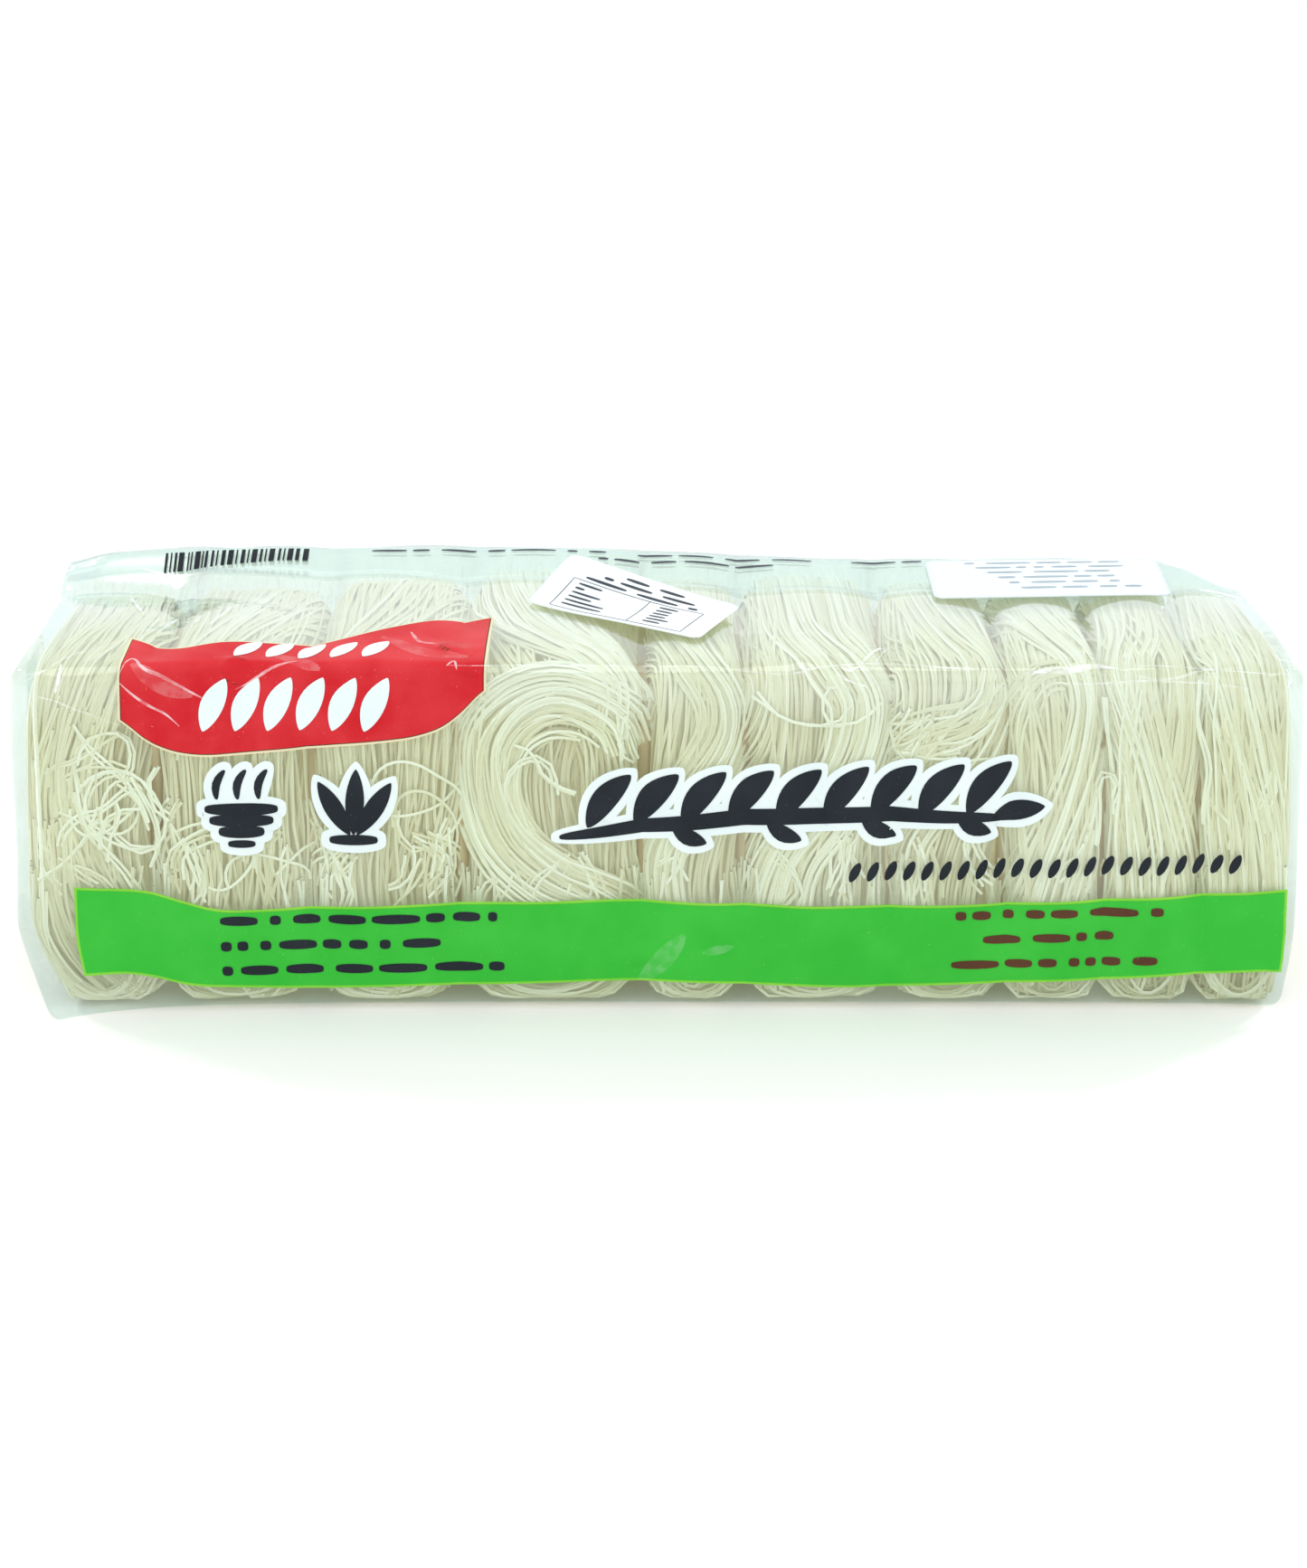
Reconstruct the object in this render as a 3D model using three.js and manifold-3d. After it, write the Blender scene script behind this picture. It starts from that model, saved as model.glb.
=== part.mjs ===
// A clear film bag filled with a row of dried rice vermicelli nests, lying on its long narrow side.
// The bag is one closed body: a soft block swollen by the nests behind each panel, with a ridge of film
// along the rear top edge, a crimped seal folded flat on each end and a corner ear at the left foot.
// Two paper labels lie on the top. Millimetres, +Z up, X along the row of nests, -Y to the front.
import * as THREE from "three";
import { mergeVertices } from "three/addons/utils/BufferGeometryUtils.js";
import Module from "manifold-3d";

// Driving dimensions of the block.
const NEST_WIDTHS = [40, 45, 43, 53, 29, 42, 34, 28, 28, 28]; // along X, left to right
const LENGTH = NEST_WIDTHS.reduce((sum, width) => sum + width, 0); // of the top panel
const FOOT_FLARE = 0.027; // share by which the foot is longer than the top
const HEIGHT = 105; // up to the top panel
const FRONT_TOP = -34;
const FRONT_FOOT = -43.5;
const BACK = 44;
const EDGE_RADIUS = 4; // where the film turns from one panel to the next
const FRONT_SWELL = 1.5; // how far a nest pushes the front and back panels out
const TOP_SWELL = 2.4;
const END_SWELL = 2;
const END_SAG = 1.5; // how much lower the top panel is at its two ends
const SAG_REACH = 45;
const STEPS = { x: 60, y: 13, z: 14, edge: 2 }; // grid steps along each side and in each rounded edge

// The foot, where the ends fold in and the corners spread into ears.
const FOLD_HEIGHT = 25;
const FOLD_INSETS = { left: 12, right: 4 };
const LEFT_EAR = 14; // at the front corner
const OTHER_EARS = 2.5;
const EAR_REACH = 30;

// The ridge of film that stands above the nests along the rear top edge. It is highest at the left,
// starts further forward away from the left end, and comes down at the right end.
const RIDGE_RISE = 10.7;
const RIDGE_START = { left: 0.6, middle: -0.1, reach: 125 }; // share from the middle to the rear edge
const RIDGE_DROP = { from: -40, to: 55, by: 4 };
const RIDGE_LEFT_DIP = { width: 17, by: 3 };
const RIDGE_RIGHT_FALL = { width: 33, by: 9 };

// The crimped seal on each end.
const SEAL_WIDTH = 12;
const SEAL_HEIGHT = 84;
const SEAL_THICK = 1.6;
const SEAL_SINK = 1.5;
const SEAL_RIDGES = 6;
const SEAL_STEPS = 10;

// The paper labels.
const PAPER = 0.5;
const PAPER_GAP = 0.6; // between a label and the film
const PAPER_STEPS = { x: 12, y: 8 };
const LABELS = {
  label_centre: { width: 58, depth: 28, x: -7, y: 8, turn: -28 },
  label_rear: { width: 72, depth: 24, x: 119, y: 25, turn: 2 },
};

const JOIN_TRIM = 0.03; // slivers left by joining the pieces are smaller than this

const { clamp, degToRad, lerp: mix, smoothstep } = THREE.MathUtils;
const arch = (share) => Math.sin(Math.PI * clamp(share, 0, 1)); // 0 at both ends and 1 halfway

// 1 on the middle of a nest and 0 between two nests.
const nestEdges = NEST_WIDTHS.reduce((edges, width) => [...edges, edges.at(-1) + width], [-LENGTH / 2]);
function nestBulge(x) {
  const inside = clamp(x, -LENGTH / 2 + 0.01, LENGTH / 2 - 0.01);
  const nest = nestEdges.findIndex((edge) => edge > inside) - 1;
  return arch((inside - nestEdges[nest]) / NEST_WIDTHS[nest]) ** 0.8;
}

// How far the ridge lifts the film, with across from -1 at the front to 1 at the back.
function ridge(x, across) {
  const fromLeft = x + LENGTH / 2;
  const fromRight = LENGTH / 2 - x;
  const start = mix(RIDGE_START.left, RIDGE_START.middle, smoothstep(fromLeft, 0, RIDGE_START.reach));
  const rise =
    RIDGE_RISE -
    RIDGE_DROP.by * smoothstep(x, RIDGE_DROP.from, RIDGE_DROP.to) -
    RIDGE_LEFT_DIP.by * (1 - smoothstep(fromLeft, 0, RIDGE_LEFT_DIP.width)) -
    RIDGE_RIGHT_FALL.by * (1 - smoothstep(fromRight, 0, RIDGE_RIGHT_FALL.width));
  return rise * smoothstep(across, start, 1);
}

// The top panel's height, with bulge from 0 between two nests to 1 on the crown of one.
function topHeight(x, across, bulge = nestBulge(x)) {
  const sag = END_SAG * (1 - smoothstep(LENGTH / 2 - Math.abs(x), 0, SAG_REACH));
  return HEIGHT - sag + TOP_SWELL * bulge * (1 - across * across) + ridge(x, across);
}

// 1 where the foot is folded in most, at the floor, and 0 above the fold.
function footFold(z) {
  return clamp(1 - z / FOLD_HEIGHT, 0, 1) ** 1.3;
}

// How far the film of the end on x's side is pushed out: swollen above, folded in at the foot.
function endPush(x, across, z) {
  const inset = x < 0 ? FOLD_INSETS.left : FOLD_INSETS.right;
  return END_SWELL * (1 - across * across) * arch(z / HEIGHT) - inset * footFold(z);
}

// Moves every vertex of a geometry to where the given function puts it.
function reshape(geometry, move) {
  const positions = geometry.getAttribute("position");
  for (let i = 0; i < positions.count; i++) {
    const moved = move(new THREE.Vector3().fromBufferAttribute(positions, i));
    positions.setXYZ(i, moved.x, moved.y, moved.z);
  }
  return geometry;
}

// Grid stops along one side: close together in the rounded edges and even between them.
function stops(half, steps) {
  const inner = half - EDGE_RADIUS;
  const edge = Array.from({ length: STEPS.edge + 1 }, (_, i) => {
    return inner + EDGE_RADIUS * Math.tan(((Math.PI / 4) * i) / STEPS.edge);
  });
  const middle = Array.from({ length: steps - 1 }, (_, i) => mix(-inner, inner, (i + 1) / steps));
  return [...edge.map((stop) => -stop).reverse(), ...middle, ...edge];
}

// The block, whose gridded box is pulled onto rounded edges and then filled with nests.
function block() {
  const half = new THREE.Vector3(LENGTH / 2, (BACK - FRONT_TOP) / 2, HEIGHT / 2);
  const inner = half.clone().subScalar(EDGE_RADIUS);
  const lines = { x: stops(half.x, STEPS.x), y: stops(half.y, STEPS.y), z: stops(half.z, STEPS.z) };
  const counts = { x: lines.x.length - 1, y: lines.y.length - 1, z: lines.z.length - 1 };
  const stopAt = (axis, share) => lines[axis][Math.round((share + 0.5) * counts[axis])];
  return reshape(new THREE.BoxGeometry(1, 1, 1, counts.x, counts.y, counts.z), (cell) => {
    const onBox = new THREE.Vector3(stopAt("x", cell.x), stopAt("y", cell.y), stopAt("z", cell.z));
    const core = onBox.clone().clamp(inner.clone().negate(), inner);
    const rounded = onBox.sub(core).setLength(EDGE_RADIUS).add(core);
    return fill(rounded.x, rounded.y / half.y, rounded.z + half.z);
  });
}

// Carries a point of the rounded block to its place on the filled bag.
function fill(x, across, z) {
  const low = z / HEIGHT;
  const swell = FRONT_SWELL * nestBulge(x) * arch(low) ** 0.6;
  const front = mix(FRONT_FOOT, FRONT_TOP, low);
  const ear = x < 0 && across < 0 ? LEFT_EAR : OTHER_EARS;
  const spread = ear * footFold(z) * Math.exp((Math.abs(x) - LENGTH / 2) / EAR_REACH);
  const nearEnd = (Math.abs(x) / (LENGTH / 2)) ** 6;
  return new THREE.Vector3(
    x * (1 + FOOT_FLARE * (1 - low)) + Math.sign(x) * nearEnd * endPush(x, across, z),
    mix(front, BACK, (across + 1) / 2) + across * (swell + spread * Math.abs(across)),
    z + (topHeight(x, across) - HEIGHT) * low ** 3,
  );
}

// A crimped strip lying flat against an end, side -1 at the left and 1 at the right.
function endSeal(side) {
  const seal = new THREE.BoxGeometry(1, SEAL_WIDTH, SEAL_HEIGHT, 1, 2 * SEAL_RIDGES, SEAL_STEPS);
  return reshape(seal, ({ x, y, z }) => {
    const height = z + HEIGHT / 2;
    const onRidge = Math.round((y / SEAL_WIDTH + 0.5) * 2 * SEAL_RIDGES) % 2;
    const out = x * side > 0 ? SEAL_THICK * (onRidge ? 1 : 0.6) : -SEAL_SINK;
    const film = (LENGTH / 2) * (1 + FOOT_FLARE * (1 - height / HEIGHT)) + endPush(side, 0, height);
    return new THREE.Vector3(side * (film + out), y, height);
  });
}

// A label lies on the crowns of the nests below the film.
function labelBed(x, y) {
  const across = mix(-1, 1, (y - FRONT_TOP) / (BACK - FRONT_TOP));
  return topHeight(x, across, 1);
}

// A paper label of the given size, turned about Z and bent to what lies below it.
function label({ width, depth, x, y, turn }) {
  const sheet = new THREE.BoxGeometry(width, depth, PAPER, PAPER_STEPS.x, PAPER_STEPS.y, 1);
  sheet.rotateZ(degToRad(turn)).translate(x, y, PAPER / 2 + PAPER_GAP);
  return reshape(sheet, (point) => point.setZ(point.z + labelBed(point.x, point.y)));
}

const wasm = await Module();
wasm.setup();

function toSolid(geometry) {
  const bare = geometry.clone().deleteAttribute("normal").deleteAttribute("uv");
  const merged = mergeVertices(bare, 1e-3);
  const mesh = new wasm.Mesh({
    numProp: 3,
    vertProperties: merged.getAttribute("position").array,
    triVerts: new Uint32Array(merged.index.array),
  });
  return new wasm.Manifold(mesh);
}

function toGeometry(solid) {
  const { vertProperties, triVerts } = solid.getMesh();
  return new THREE.BufferGeometry()
    .setAttribute("position", new THREE.BufferAttribute(vertProperties, 3))
    .setIndex(new THREE.BufferAttribute(triVerts, 1));
}

// The whole bag as one body.
function bag() {
  const pieces = [block(), endSeal(-1), endSeal(1)].map(toSolid);
  return toGeometry(wasm.Manifold.union(pieces).asOriginal().simplify(JOIN_TRIM));
}

function named(name, geometry, material) {
  geometry.computeVertexNormals();
  const mesh = new THREE.Mesh(geometry, material);
  mesh.name = name;
  return mesh;
}

const filledFilm = new THREE.MeshStandardMaterial({ color: 0xe9ebcf, roughness: 0.25, metalness: 0 });
const paper = new THREE.MeshStandardMaterial({ color: 0xf4f8fb, roughness: 0.6, metalness: 0 });

const pack = new THREE.Group();
pack.add(named("bag", bag(), filledFilm));
for (const [name, place] of Object.entries(LABELS)) pack.add(named(name, label(place), paper));

// Move the origin to the middle of the pack's footprint.
const middle = new THREE.Box3().setFromObject(pack).getCenter(new THREE.Vector3());
for (const mesh of pack.children) mesh.geometry.translate(-middle.x, -middle.y, 0);

export default pack;
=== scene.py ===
# %% [markdown]
# # A clear film pack of rice vermicelli nests
# Ten nests of dried noodles stand in a row inside a bag of clear, shiny film.
# The bag has printed fields of colour, a ridge along its rear top edge, a crimped
# seal on each end and two paper labels on top. The CAD model holds the bag as one
# plain solid, which this scene replaces with film, print and noodles.

import math

import bpy
import numpy as np
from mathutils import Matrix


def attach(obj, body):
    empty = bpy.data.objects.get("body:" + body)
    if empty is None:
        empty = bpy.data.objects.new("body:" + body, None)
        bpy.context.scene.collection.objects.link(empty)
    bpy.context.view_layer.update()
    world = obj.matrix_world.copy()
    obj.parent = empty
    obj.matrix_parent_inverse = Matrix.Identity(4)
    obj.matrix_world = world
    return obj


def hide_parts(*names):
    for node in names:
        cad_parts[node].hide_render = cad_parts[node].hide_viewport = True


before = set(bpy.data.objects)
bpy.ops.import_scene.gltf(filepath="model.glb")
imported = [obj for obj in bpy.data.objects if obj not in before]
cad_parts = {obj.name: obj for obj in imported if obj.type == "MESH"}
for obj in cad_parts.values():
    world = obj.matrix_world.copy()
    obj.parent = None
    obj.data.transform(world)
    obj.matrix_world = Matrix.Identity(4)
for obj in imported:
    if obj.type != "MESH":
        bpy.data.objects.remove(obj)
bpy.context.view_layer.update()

# %% [markdown]
# ## The camera
# The pack is seen from in front and a little above. A lens of about 56 mm at arm's
# length keeps the perspective of a product picture. The camera comes first, so that
# every later step can be judged through it.

# %% Set up the camera
MM = 0.001
CAMERA_AT = (-1.0, -676.08, 356.19)  # mm
LOOK_DOWN = 24  # degrees below the horizon
FOCAL_LENGTH = 55.9  # mm

lens = bpy.data.cameras.new("camera")
lens.lens = FOCAL_LENGTH
camera = bpy.data.objects.new("camera", lens)
camera.location = [MM * value for value in CAMERA_AT]
camera.rotation_euler = (math.radians(90 - LOOK_DOWN), 0, 0)
bpy.context.collection.objects.link(camera)
bpy.context.scene.camera = camera
print("camera looks down by", LOOK_DOWN, "degrees")

# %% [markdown]
# ## The form of the filled bag
# Film that is packed tightly takes the form of a block with soft edges. The nests
# push each panel out, the foot is a little longer than the top, and the ends fold in
# near the floor. One function carries a point of a plain block onto that form.
# Film, print and noodles all go through it, so they always fit each other.

# %% Name the sizes of the block, in millimetres
NEST_WIDTHS = np.array([40, 45, 43, 53, 29, 42, 34, 28, 28, 28], float)
LENGTH = NEST_WIDTHS.sum()
NEST_EDGES = np.concatenate([[0], np.cumsum(NEST_WIDTHS)]) - LENGTH / 2
HEIGHT = 105.0
FRONT_TOP, FRONT_FOOT, BACK = -34.0, -43.5, 44.0  # Y of the front's top and foot and of the back
HALF_DEPTH = (BACK - FRONT_TOP) / 2
FOOT_FLARE = 0.027  # how much longer the foot is than the top, as a share
FRONT_SWELL, TOP_SWELL, END_SWELL = 1.5, 2.4, 2.0  # how far the filling pushes the panels out
END_SAG, SAG_REACH = 1.5, 45.0  # how far the top falls at both ends, and from how far in
FOLD_HEIGHT, FOLD_INSETS = 25.0, (12.0, 4.0)  # of the folds at the left and the right foot
LEFT_EAR, OTHER_EARS, EAR_REACH = 14.0, 2.5, 30.0  # how far the foot's corners stand out
RIDGE_RISE = 10.7
RIDGE_REACH, RIDGE_STARTS = 125.0, (0.6, -0.1)  # how far across it starts, at the left and 125 mm on
RIDGE_DROP = (4.0, -40.0, 55.0)  # how much lower it is on the right, and between which X that comes
RIDGE_LEFT_DIP, RIDGE_RIGHT_FALL = (3.0, 17.0), (9.0, 33.0)  # the same at its ends, and over what length
NEST_RISES = np.array([0, 1, 5, 8.8, 5, 6, 3.5, 2, 2, 4], float)  # of each nest's top towards the rear
ORIGIN_SHIFT = 3.775  # along Y, from the middle of the block to that of its footprint


def arch(share):
    """From 0 up to 1 and back, as share runs from 0 to 1."""
    return np.sin(np.pi * np.clip(share, 0, 1))


def ease(value, start, end):
    """0 below start, 1 above end and smooth between them."""
    share = np.clip((value - start) / (end - start), 0, 1)
    return share * share * (3 - 2 * share)


def unit(ways):
    return ways / np.maximum(np.linalg.norm(ways, axis=-1, keepdims=True), 1e-9)


def nest_bulge(x):
    """1 at the middle of each nest and 0 between two of them."""
    inside = np.clip(x, -LENGTH / 2 + 0.01, LENGTH / 2 - 0.01)
    nest = np.searchsorted(NEST_EDGES, inside, side="right") - 1
    return arch((inside - NEST_EDGES[nest]) / NEST_WIDTHS[nest]) ** 0.8


def panel_height(x, across, bulge):
    sag = END_SAG * (1 - ease(LENGTH / 2 - np.abs(x), 0, SAG_REACH))
    return HEIGHT - sag + TOP_SWELL * bulge * (1 - across**2)


def ridge(x, across):
    """How far the film stands up along the rear top edge."""
    start = RIDGE_STARTS[0] + (RIDGE_STARTS[1] - RIDGE_STARTS[0]) * ease(x + LENGTH / 2, 0, RIDGE_REACH)
    rise = RIDGE_RISE - RIDGE_DROP[0] * ease(x, *RIDGE_DROP[1:])
    rise = rise - RIDGE_LEFT_DIP[0] * (1 - ease(LENGTH / 2 + x, 0, RIDGE_LEFT_DIP[1]))
    rise = rise - RIDGE_RIGHT_FALL[0] * (1 - ease(LENGTH / 2 - x, 0, RIDGE_RIGHT_FALL[1]))
    return rise * ease(across, start, 1)


def film_top(x, across):
    return panel_height(x, across, nest_bulge(x)) + ridge(x, across)


def nest_top(nest):
    """The top of one nest, which rises less than the film does and stays under it."""
    def top(x, across):
        risen = panel_height(x, across, nest_bulge(x)) + NEST_RISES[nest] * ease(across, -0.1, 1)
        return np.minimum(risen, film_top(x, across))
    return top


def end_push(x, across, z):
    """How far an end stands out of the plain block, or in where it is folded."""
    inset = np.where(x < 0, *FOLD_INSETS) * np.clip(1 - z / FOLD_HEIGHT, 0, 1) ** 1.3
    return END_SWELL * (1 - across**2) * arch(z / HEIGHT) - inset


def fill(x, across, z, top=film_top, left_ear=LEFT_EAR):
    """Carries points of the block onto the filled bag, in millimetres."""
    low = z / HEIGHT
    swell = FRONT_SWELL * nest_bulge(x) * arch(low) ** 0.6
    front = FRONT_FOOT + (FRONT_TOP - FRONT_FOOT) * low
    ear = np.where((x < 0) & (across < 0), left_ear, OTHER_EARS)
    ear = ear * np.clip(1 - z / FOLD_HEIGHT, 0, 1) ** 1.3 * np.exp((np.abs(x) - LENGTH / 2) / EAR_REACH)
    near_end = (np.abs(x) / (LENGTH / 2)) ** 6
    y = front + (BACK - front) * (across + 1) / 2 + across * (swell + ear * np.abs(across))
    return np.stack([
        x * (1 + FOOT_FLARE * (1 - low)) + np.sign(x) * near_end * end_push(x, across, z),
        y + ORIGIN_SHIFT,
        z + (top(x, across) - HEIGHT) * low**3,
    ], axis=-1)


print("the block is", LENGTH, "x", 2 * HALF_DEPTH, "x", HEIGHT, "mm")

# %% [markdown]
# ## Walking round the bag
# Print and noodles are easier to place on an unrolled bag: x runs along the row and
# s runs up the front panel, over the top and down the back. The next function rolls
# such a flat drawing round a block with rounded edges, at any depth below the film.

# %% Roll a flat drawing round the block
FILM_RADIUS = 4.0
FILM_RADII = [FILM_RADIUS] * 4


def roll(s, depth, radii):
    """Where a length s round the block's section leads: across from the middle, and height.
    radii are those of the front foot, front top, back top and back foot."""
    foot, front, back, heel = radii
    lanes = [HEIGHT - foot - front, 2 * HALF_DEPTH - front - back,
             HEIGHT - back - heel, 2 * HALF_DEPTH - heel - foot]
    turns = [front, back, heel, foot]
    legs = [size for lane, turn in zip(lanes, turns) for size in (lane, turn * np.pi / 2)]
    starts = np.concatenate([[0], np.cumsum(legs)])
    way = np.mod(s - foot, starts[-1])
    leg = np.clip(np.searchsorted(starts, way, side="right") - 1, 0, 7)
    side, bent = leg // 2, leg % 2
    past = way - starts[leg]
    radius = np.array(turns)[side]
    angle = np.pi - (side + bent * past / (radius * np.pi / 2)) * np.pi / 2  # of the outward direction
    corner = np.array([[front - HALF_DEPTH, HEIGHT - front], [HALF_DEPTH - back, HEIGHT - back],
                       [HALF_DEPTH - heel, heel], [foot - HALF_DEPTH, foot]])[side]
    left = (1 - bent) * (np.array(lanes)[side] - past)  # still to go to the corner
    across = corner[..., 0] - left * np.array([0, 1, 0, -1])[side] + (radius - depth) * np.cos(angle)
    height = corner[..., 1] - left * np.array([1, 0, -1, 0])[side] + (radius - depth) * np.sin(angle)
    return across, height


def round_length(radii):
    """The length once round the block's section."""
    return 2 * (HEIGHT + 2 * HALF_DEPTH) - (2 - np.pi / 2) * sum(radii)


across_mm, height_mm = roll(np.array([50.0, 140.0, 230.0]), 0.0, FILM_RADII)
print("s of 50, 140 and 230 mm lead to", across_mm.round(1), height_mm.round(1))

# %% [markdown]
# ## Writing finishes as expressions
# A material is a tree of nodes. Wiring it by hand takes many lines, so a small class
# wraps a node's output and lets Python's operators add the Math nodes. One method
# adds any other node from its type, its settings and the values of its sockets.

# %% A class for shader maths
class Amount:
    """A node's output, on which Python's operators add Math nodes."""

    def __init__(self, finish, socket):
        self.finish, self.socket = finish, socket

    def _maths(self, operation, first, second):
        return self.finish.node("ShaderNodeMath", {"operation": operation}, {0: first, 1: second})

    def __add__(self, other):
        return self._maths("ADD", self, other)

    def __mul__(self, other):
        return self._maths("MULTIPLY", self, other)

    def __rsub__(self, other):
        return self._maths("SUBTRACT", other, self)

    __radd__, __rmul__ = __add__, __mul__

    def above(self, start, end):
        """0 below start, 1 above end and smooth between them."""
        return self.finish.node("ShaderNodeMapRange", {"interpolation_type": "SMOOTHSTEP"},
                                {"Value": self, "From Min": start, "From Max": end})


# %% A class for finishes
class Finish:
    """A material and the nodes in it."""

    def __init__(self, name):
        self.material = bpy.data.materials.new(name)
        self.material.use_nodes = True
        self.tree = self.material.node_tree
        self.tree.nodes.clear()

    def node(self, kind, settings=None, sockets=None, output=0):
        made = self.tree.nodes.new(kind)
        for key, value in (settings or {}).items():
            setattr(made, key, value)
        for key, value in (sockets or {}).items():
            if isinstance(value, Amount):
                self.tree.links.new(value.socket, made.inputs[key])
            else:
                made.inputs[key].default_value = value
        return Amount(self, made.outputs[output])

    def noise(self, scale, detail, stretch=(1, 1, 1)):
        """Noise in metres of the object, with scale as features per metre."""
        place = self.node("ShaderNodeTexCoord", output="Object")
        place = self.node("ShaderNodeMapping", {}, {"Vector": place, "Scale": stretch})
        return self.node("ShaderNodeTexNoise", {}, {"Vector": place, "Scale": scale, "Detail": detail})

    def along(self, axis):
        """How far along an axis of the object a place is, in metres."""
        place = self.node("ShaderNodeTexCoord", output="Object")
        return self.node("ShaderNodeSeparateXYZ", {}, {"Vector": place}, axis)

    def mix(self, share, first, second):
        return self.node("ShaderNodeMix", {"data_type": "RGBA"}, {0: share, 6: first, 7: second}, 2)

    def bump(self, height, depth_mm, strength=1.0):
        sockets = {"Height": height, "Distance": depth_mm * MM, "Strength": strength}
        return self.node("ShaderNodeBump", {}, sockets)

    def principled(self, **sockets):
        named = {key.replace("_", " "): value for key, value in sockets.items()}
        return self.node("ShaderNodeBsdfPrincipled", {}, named)

    def show(self, shader):
        end = self.tree.nodes.new("ShaderNodeOutputMaterial")
        self.tree.links.new(shader.socket, end.inputs["Surface"])
        return self


def colour(red, green, blue):
    """A display colour from 0 to 255 as the linear colour that a socket takes."""
    shares = np.array([red, green, blue]) / 255
    linear = np.where(shares <= 0.04045, shares / 12.92, ((shares + 0.055) / 1.055) ** 2.4)
    return (*[float(value) for value in linear], 1.0)


print("cream in linear light:", [round(value, 3) for value in colour(238, 238, 208)])

# %% [markdown]
# ## Making pieces
# Every piece is a mesh worked out with numpy and handed to Blender in one call. It
# rides on the pack's one body.

# %% Helpers that make faces and pieces
PIECE_UV = "OFBake"
FLIPPED = [0, 3, 2, 1]  # the order of a face's points when it is seen from behind


def grid_faces(index):
    """The faces between the neighbouring points of a grid of point numbers."""
    return np.stack([index[:-1, :-1], index[:-1, 1:], index[1:, 1:], index[1:, :-1]], -1).reshape(-1, 4)


def sheet_faces(rows, columns):
    return grid_faces(np.arange(rows * columns).reshape(rows, columns))


def slab(outer, inner, turn=1):
    """Points and faces of a thin closed sheet between two grids of points, where turn is -1
    if the grids run the other way round."""
    rows, columns = outer.shape[:2]
    index = np.arange(rows * columns).reshape(rows, columns)
    rim = np.concatenate([index[0], index[1:, -1], index[-1, -2::-1], index[-2:0:-1, 0]])
    after = np.roll(rim, -1)
    wall = np.stack([rim, rim + rows * columns, after + rows * columns, after], -1)
    front, back = grid_faces(index)[:, ::turn], grid_faces(index)[:, ::-turn] + rows * columns
    faces = np.concatenate([front, back, wall[:, ::turn]])
    return np.concatenate([outer.reshape(-1, 3), inner.reshape(-1, 3)]), faces


def make_piece(name, points, faces, finish, slot="filled_film", replaced="bag",
               corners=None, looks=None):
    """A smooth mesh in place of a CAD node. points are in mm, corners are the faces' UVs
    and looks the points' shading directions."""
    mesh = bpy.data.meshes.new(name)
    mesh.from_pydata(np.asarray(points).reshape(-1, 3) * MM, [], faces)
    mesh.shade_smooth()
    mesh.materials.append(finish.material)
    if corners is not None:
        layer = mesh.uv_layers.new(name=PIECE_UV)
        layer.data.foreach_set("uv", np.asarray(corners, np.float32).ravel())
    if looks is not None:
        layer = mesh.attributes.new("custom_normal", "FLOAT_VECTOR", "POINT")
        layer.data.foreach_set("vector", np.asarray(looks, np.float32).ravel())
    piece = bpy.data.objects.new(name, mesh)
    bpy.context.collection.objects.link(piece)
    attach(piece, "root")
    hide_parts(replaced)
    print(f"{name}: {len(mesh.vertices)} points, {len(mesh.polygons)} faces")
    return piece


print("pieces go on the body root")

# %% [markdown]
# ## Wrinkles in the film
# Film that is pulled round a filled block shows three kinds of relief: slow waves,
# sharp creases that run out of each corner like a star, and long folds where it is
# gathered at the ends. Real geometry catches the light better than a bump alone, so
# each crease is a low ridge along a line, added to the surface by its distance.

# %% Draw the creases
CREASE_REACH = 2.5  # mm, half the width of a crease
RELIEF_LIMITS = (-0.5, 1.1)  # mm, how far the film may stand in and out
STARS = [  # x, s, rays, longest ray, height of the ridges
    (-176, 101, 9, 24, 0.9), (-146, 128, 7, 18, 0.8), (-120, 104, 7, 22, 0.7),
    (-60, 116, 6, 16, 0.6), (44, 106, 7, 20, 0.7), (62, 112, 6, 18, 0.6),
    (122, 106, 7, 16, 0.8), (180, 102, 9, 22, 0.9), (172, 128, 6, 20, 0.6),
    (-178, 16, 8, 26, 0.8), (181, 14, 7, 20, 0.7), (-6, 16, 5, 16, 0.5),
    (-165, 205, 6, 24, 0.7), (60, 200, 6, 22, 0.6), (168, 210, 7, 24, 0.7),
]


def block_point(x, s):
    """A point on the skin of the plain block."""
    across, height = roll(np.asarray(s, float), 0.0, FILM_RADII)
    return np.stack([np.broadcast_to(x, across.shape), across, height], -1)


def draw_creases():
    """Both ends of each crease, and its height in mm."""
    rng = np.random.default_rng(11)
    lines = []
    for x, s, rays, longest, ridge in STARS:
        for ray in range(rays):
            angle = 2 * np.pi * (ray + 0.7 * rng.random()) / rays
            reach = longest * (0.4 + 0.6 * rng.random())
            far_x = np.clip(x + reach * np.cos(angle), 1 - LENGTH / 2, LENGTH / 2 - 1)
            far = block_point(far_x, s + 0.8 * reach * np.sin(angle))
            lines.append((block_point(x, s), far, ridge * (0.5 + 0.5 * rng.random())))
    return lines


creases = draw_creases()


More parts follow.
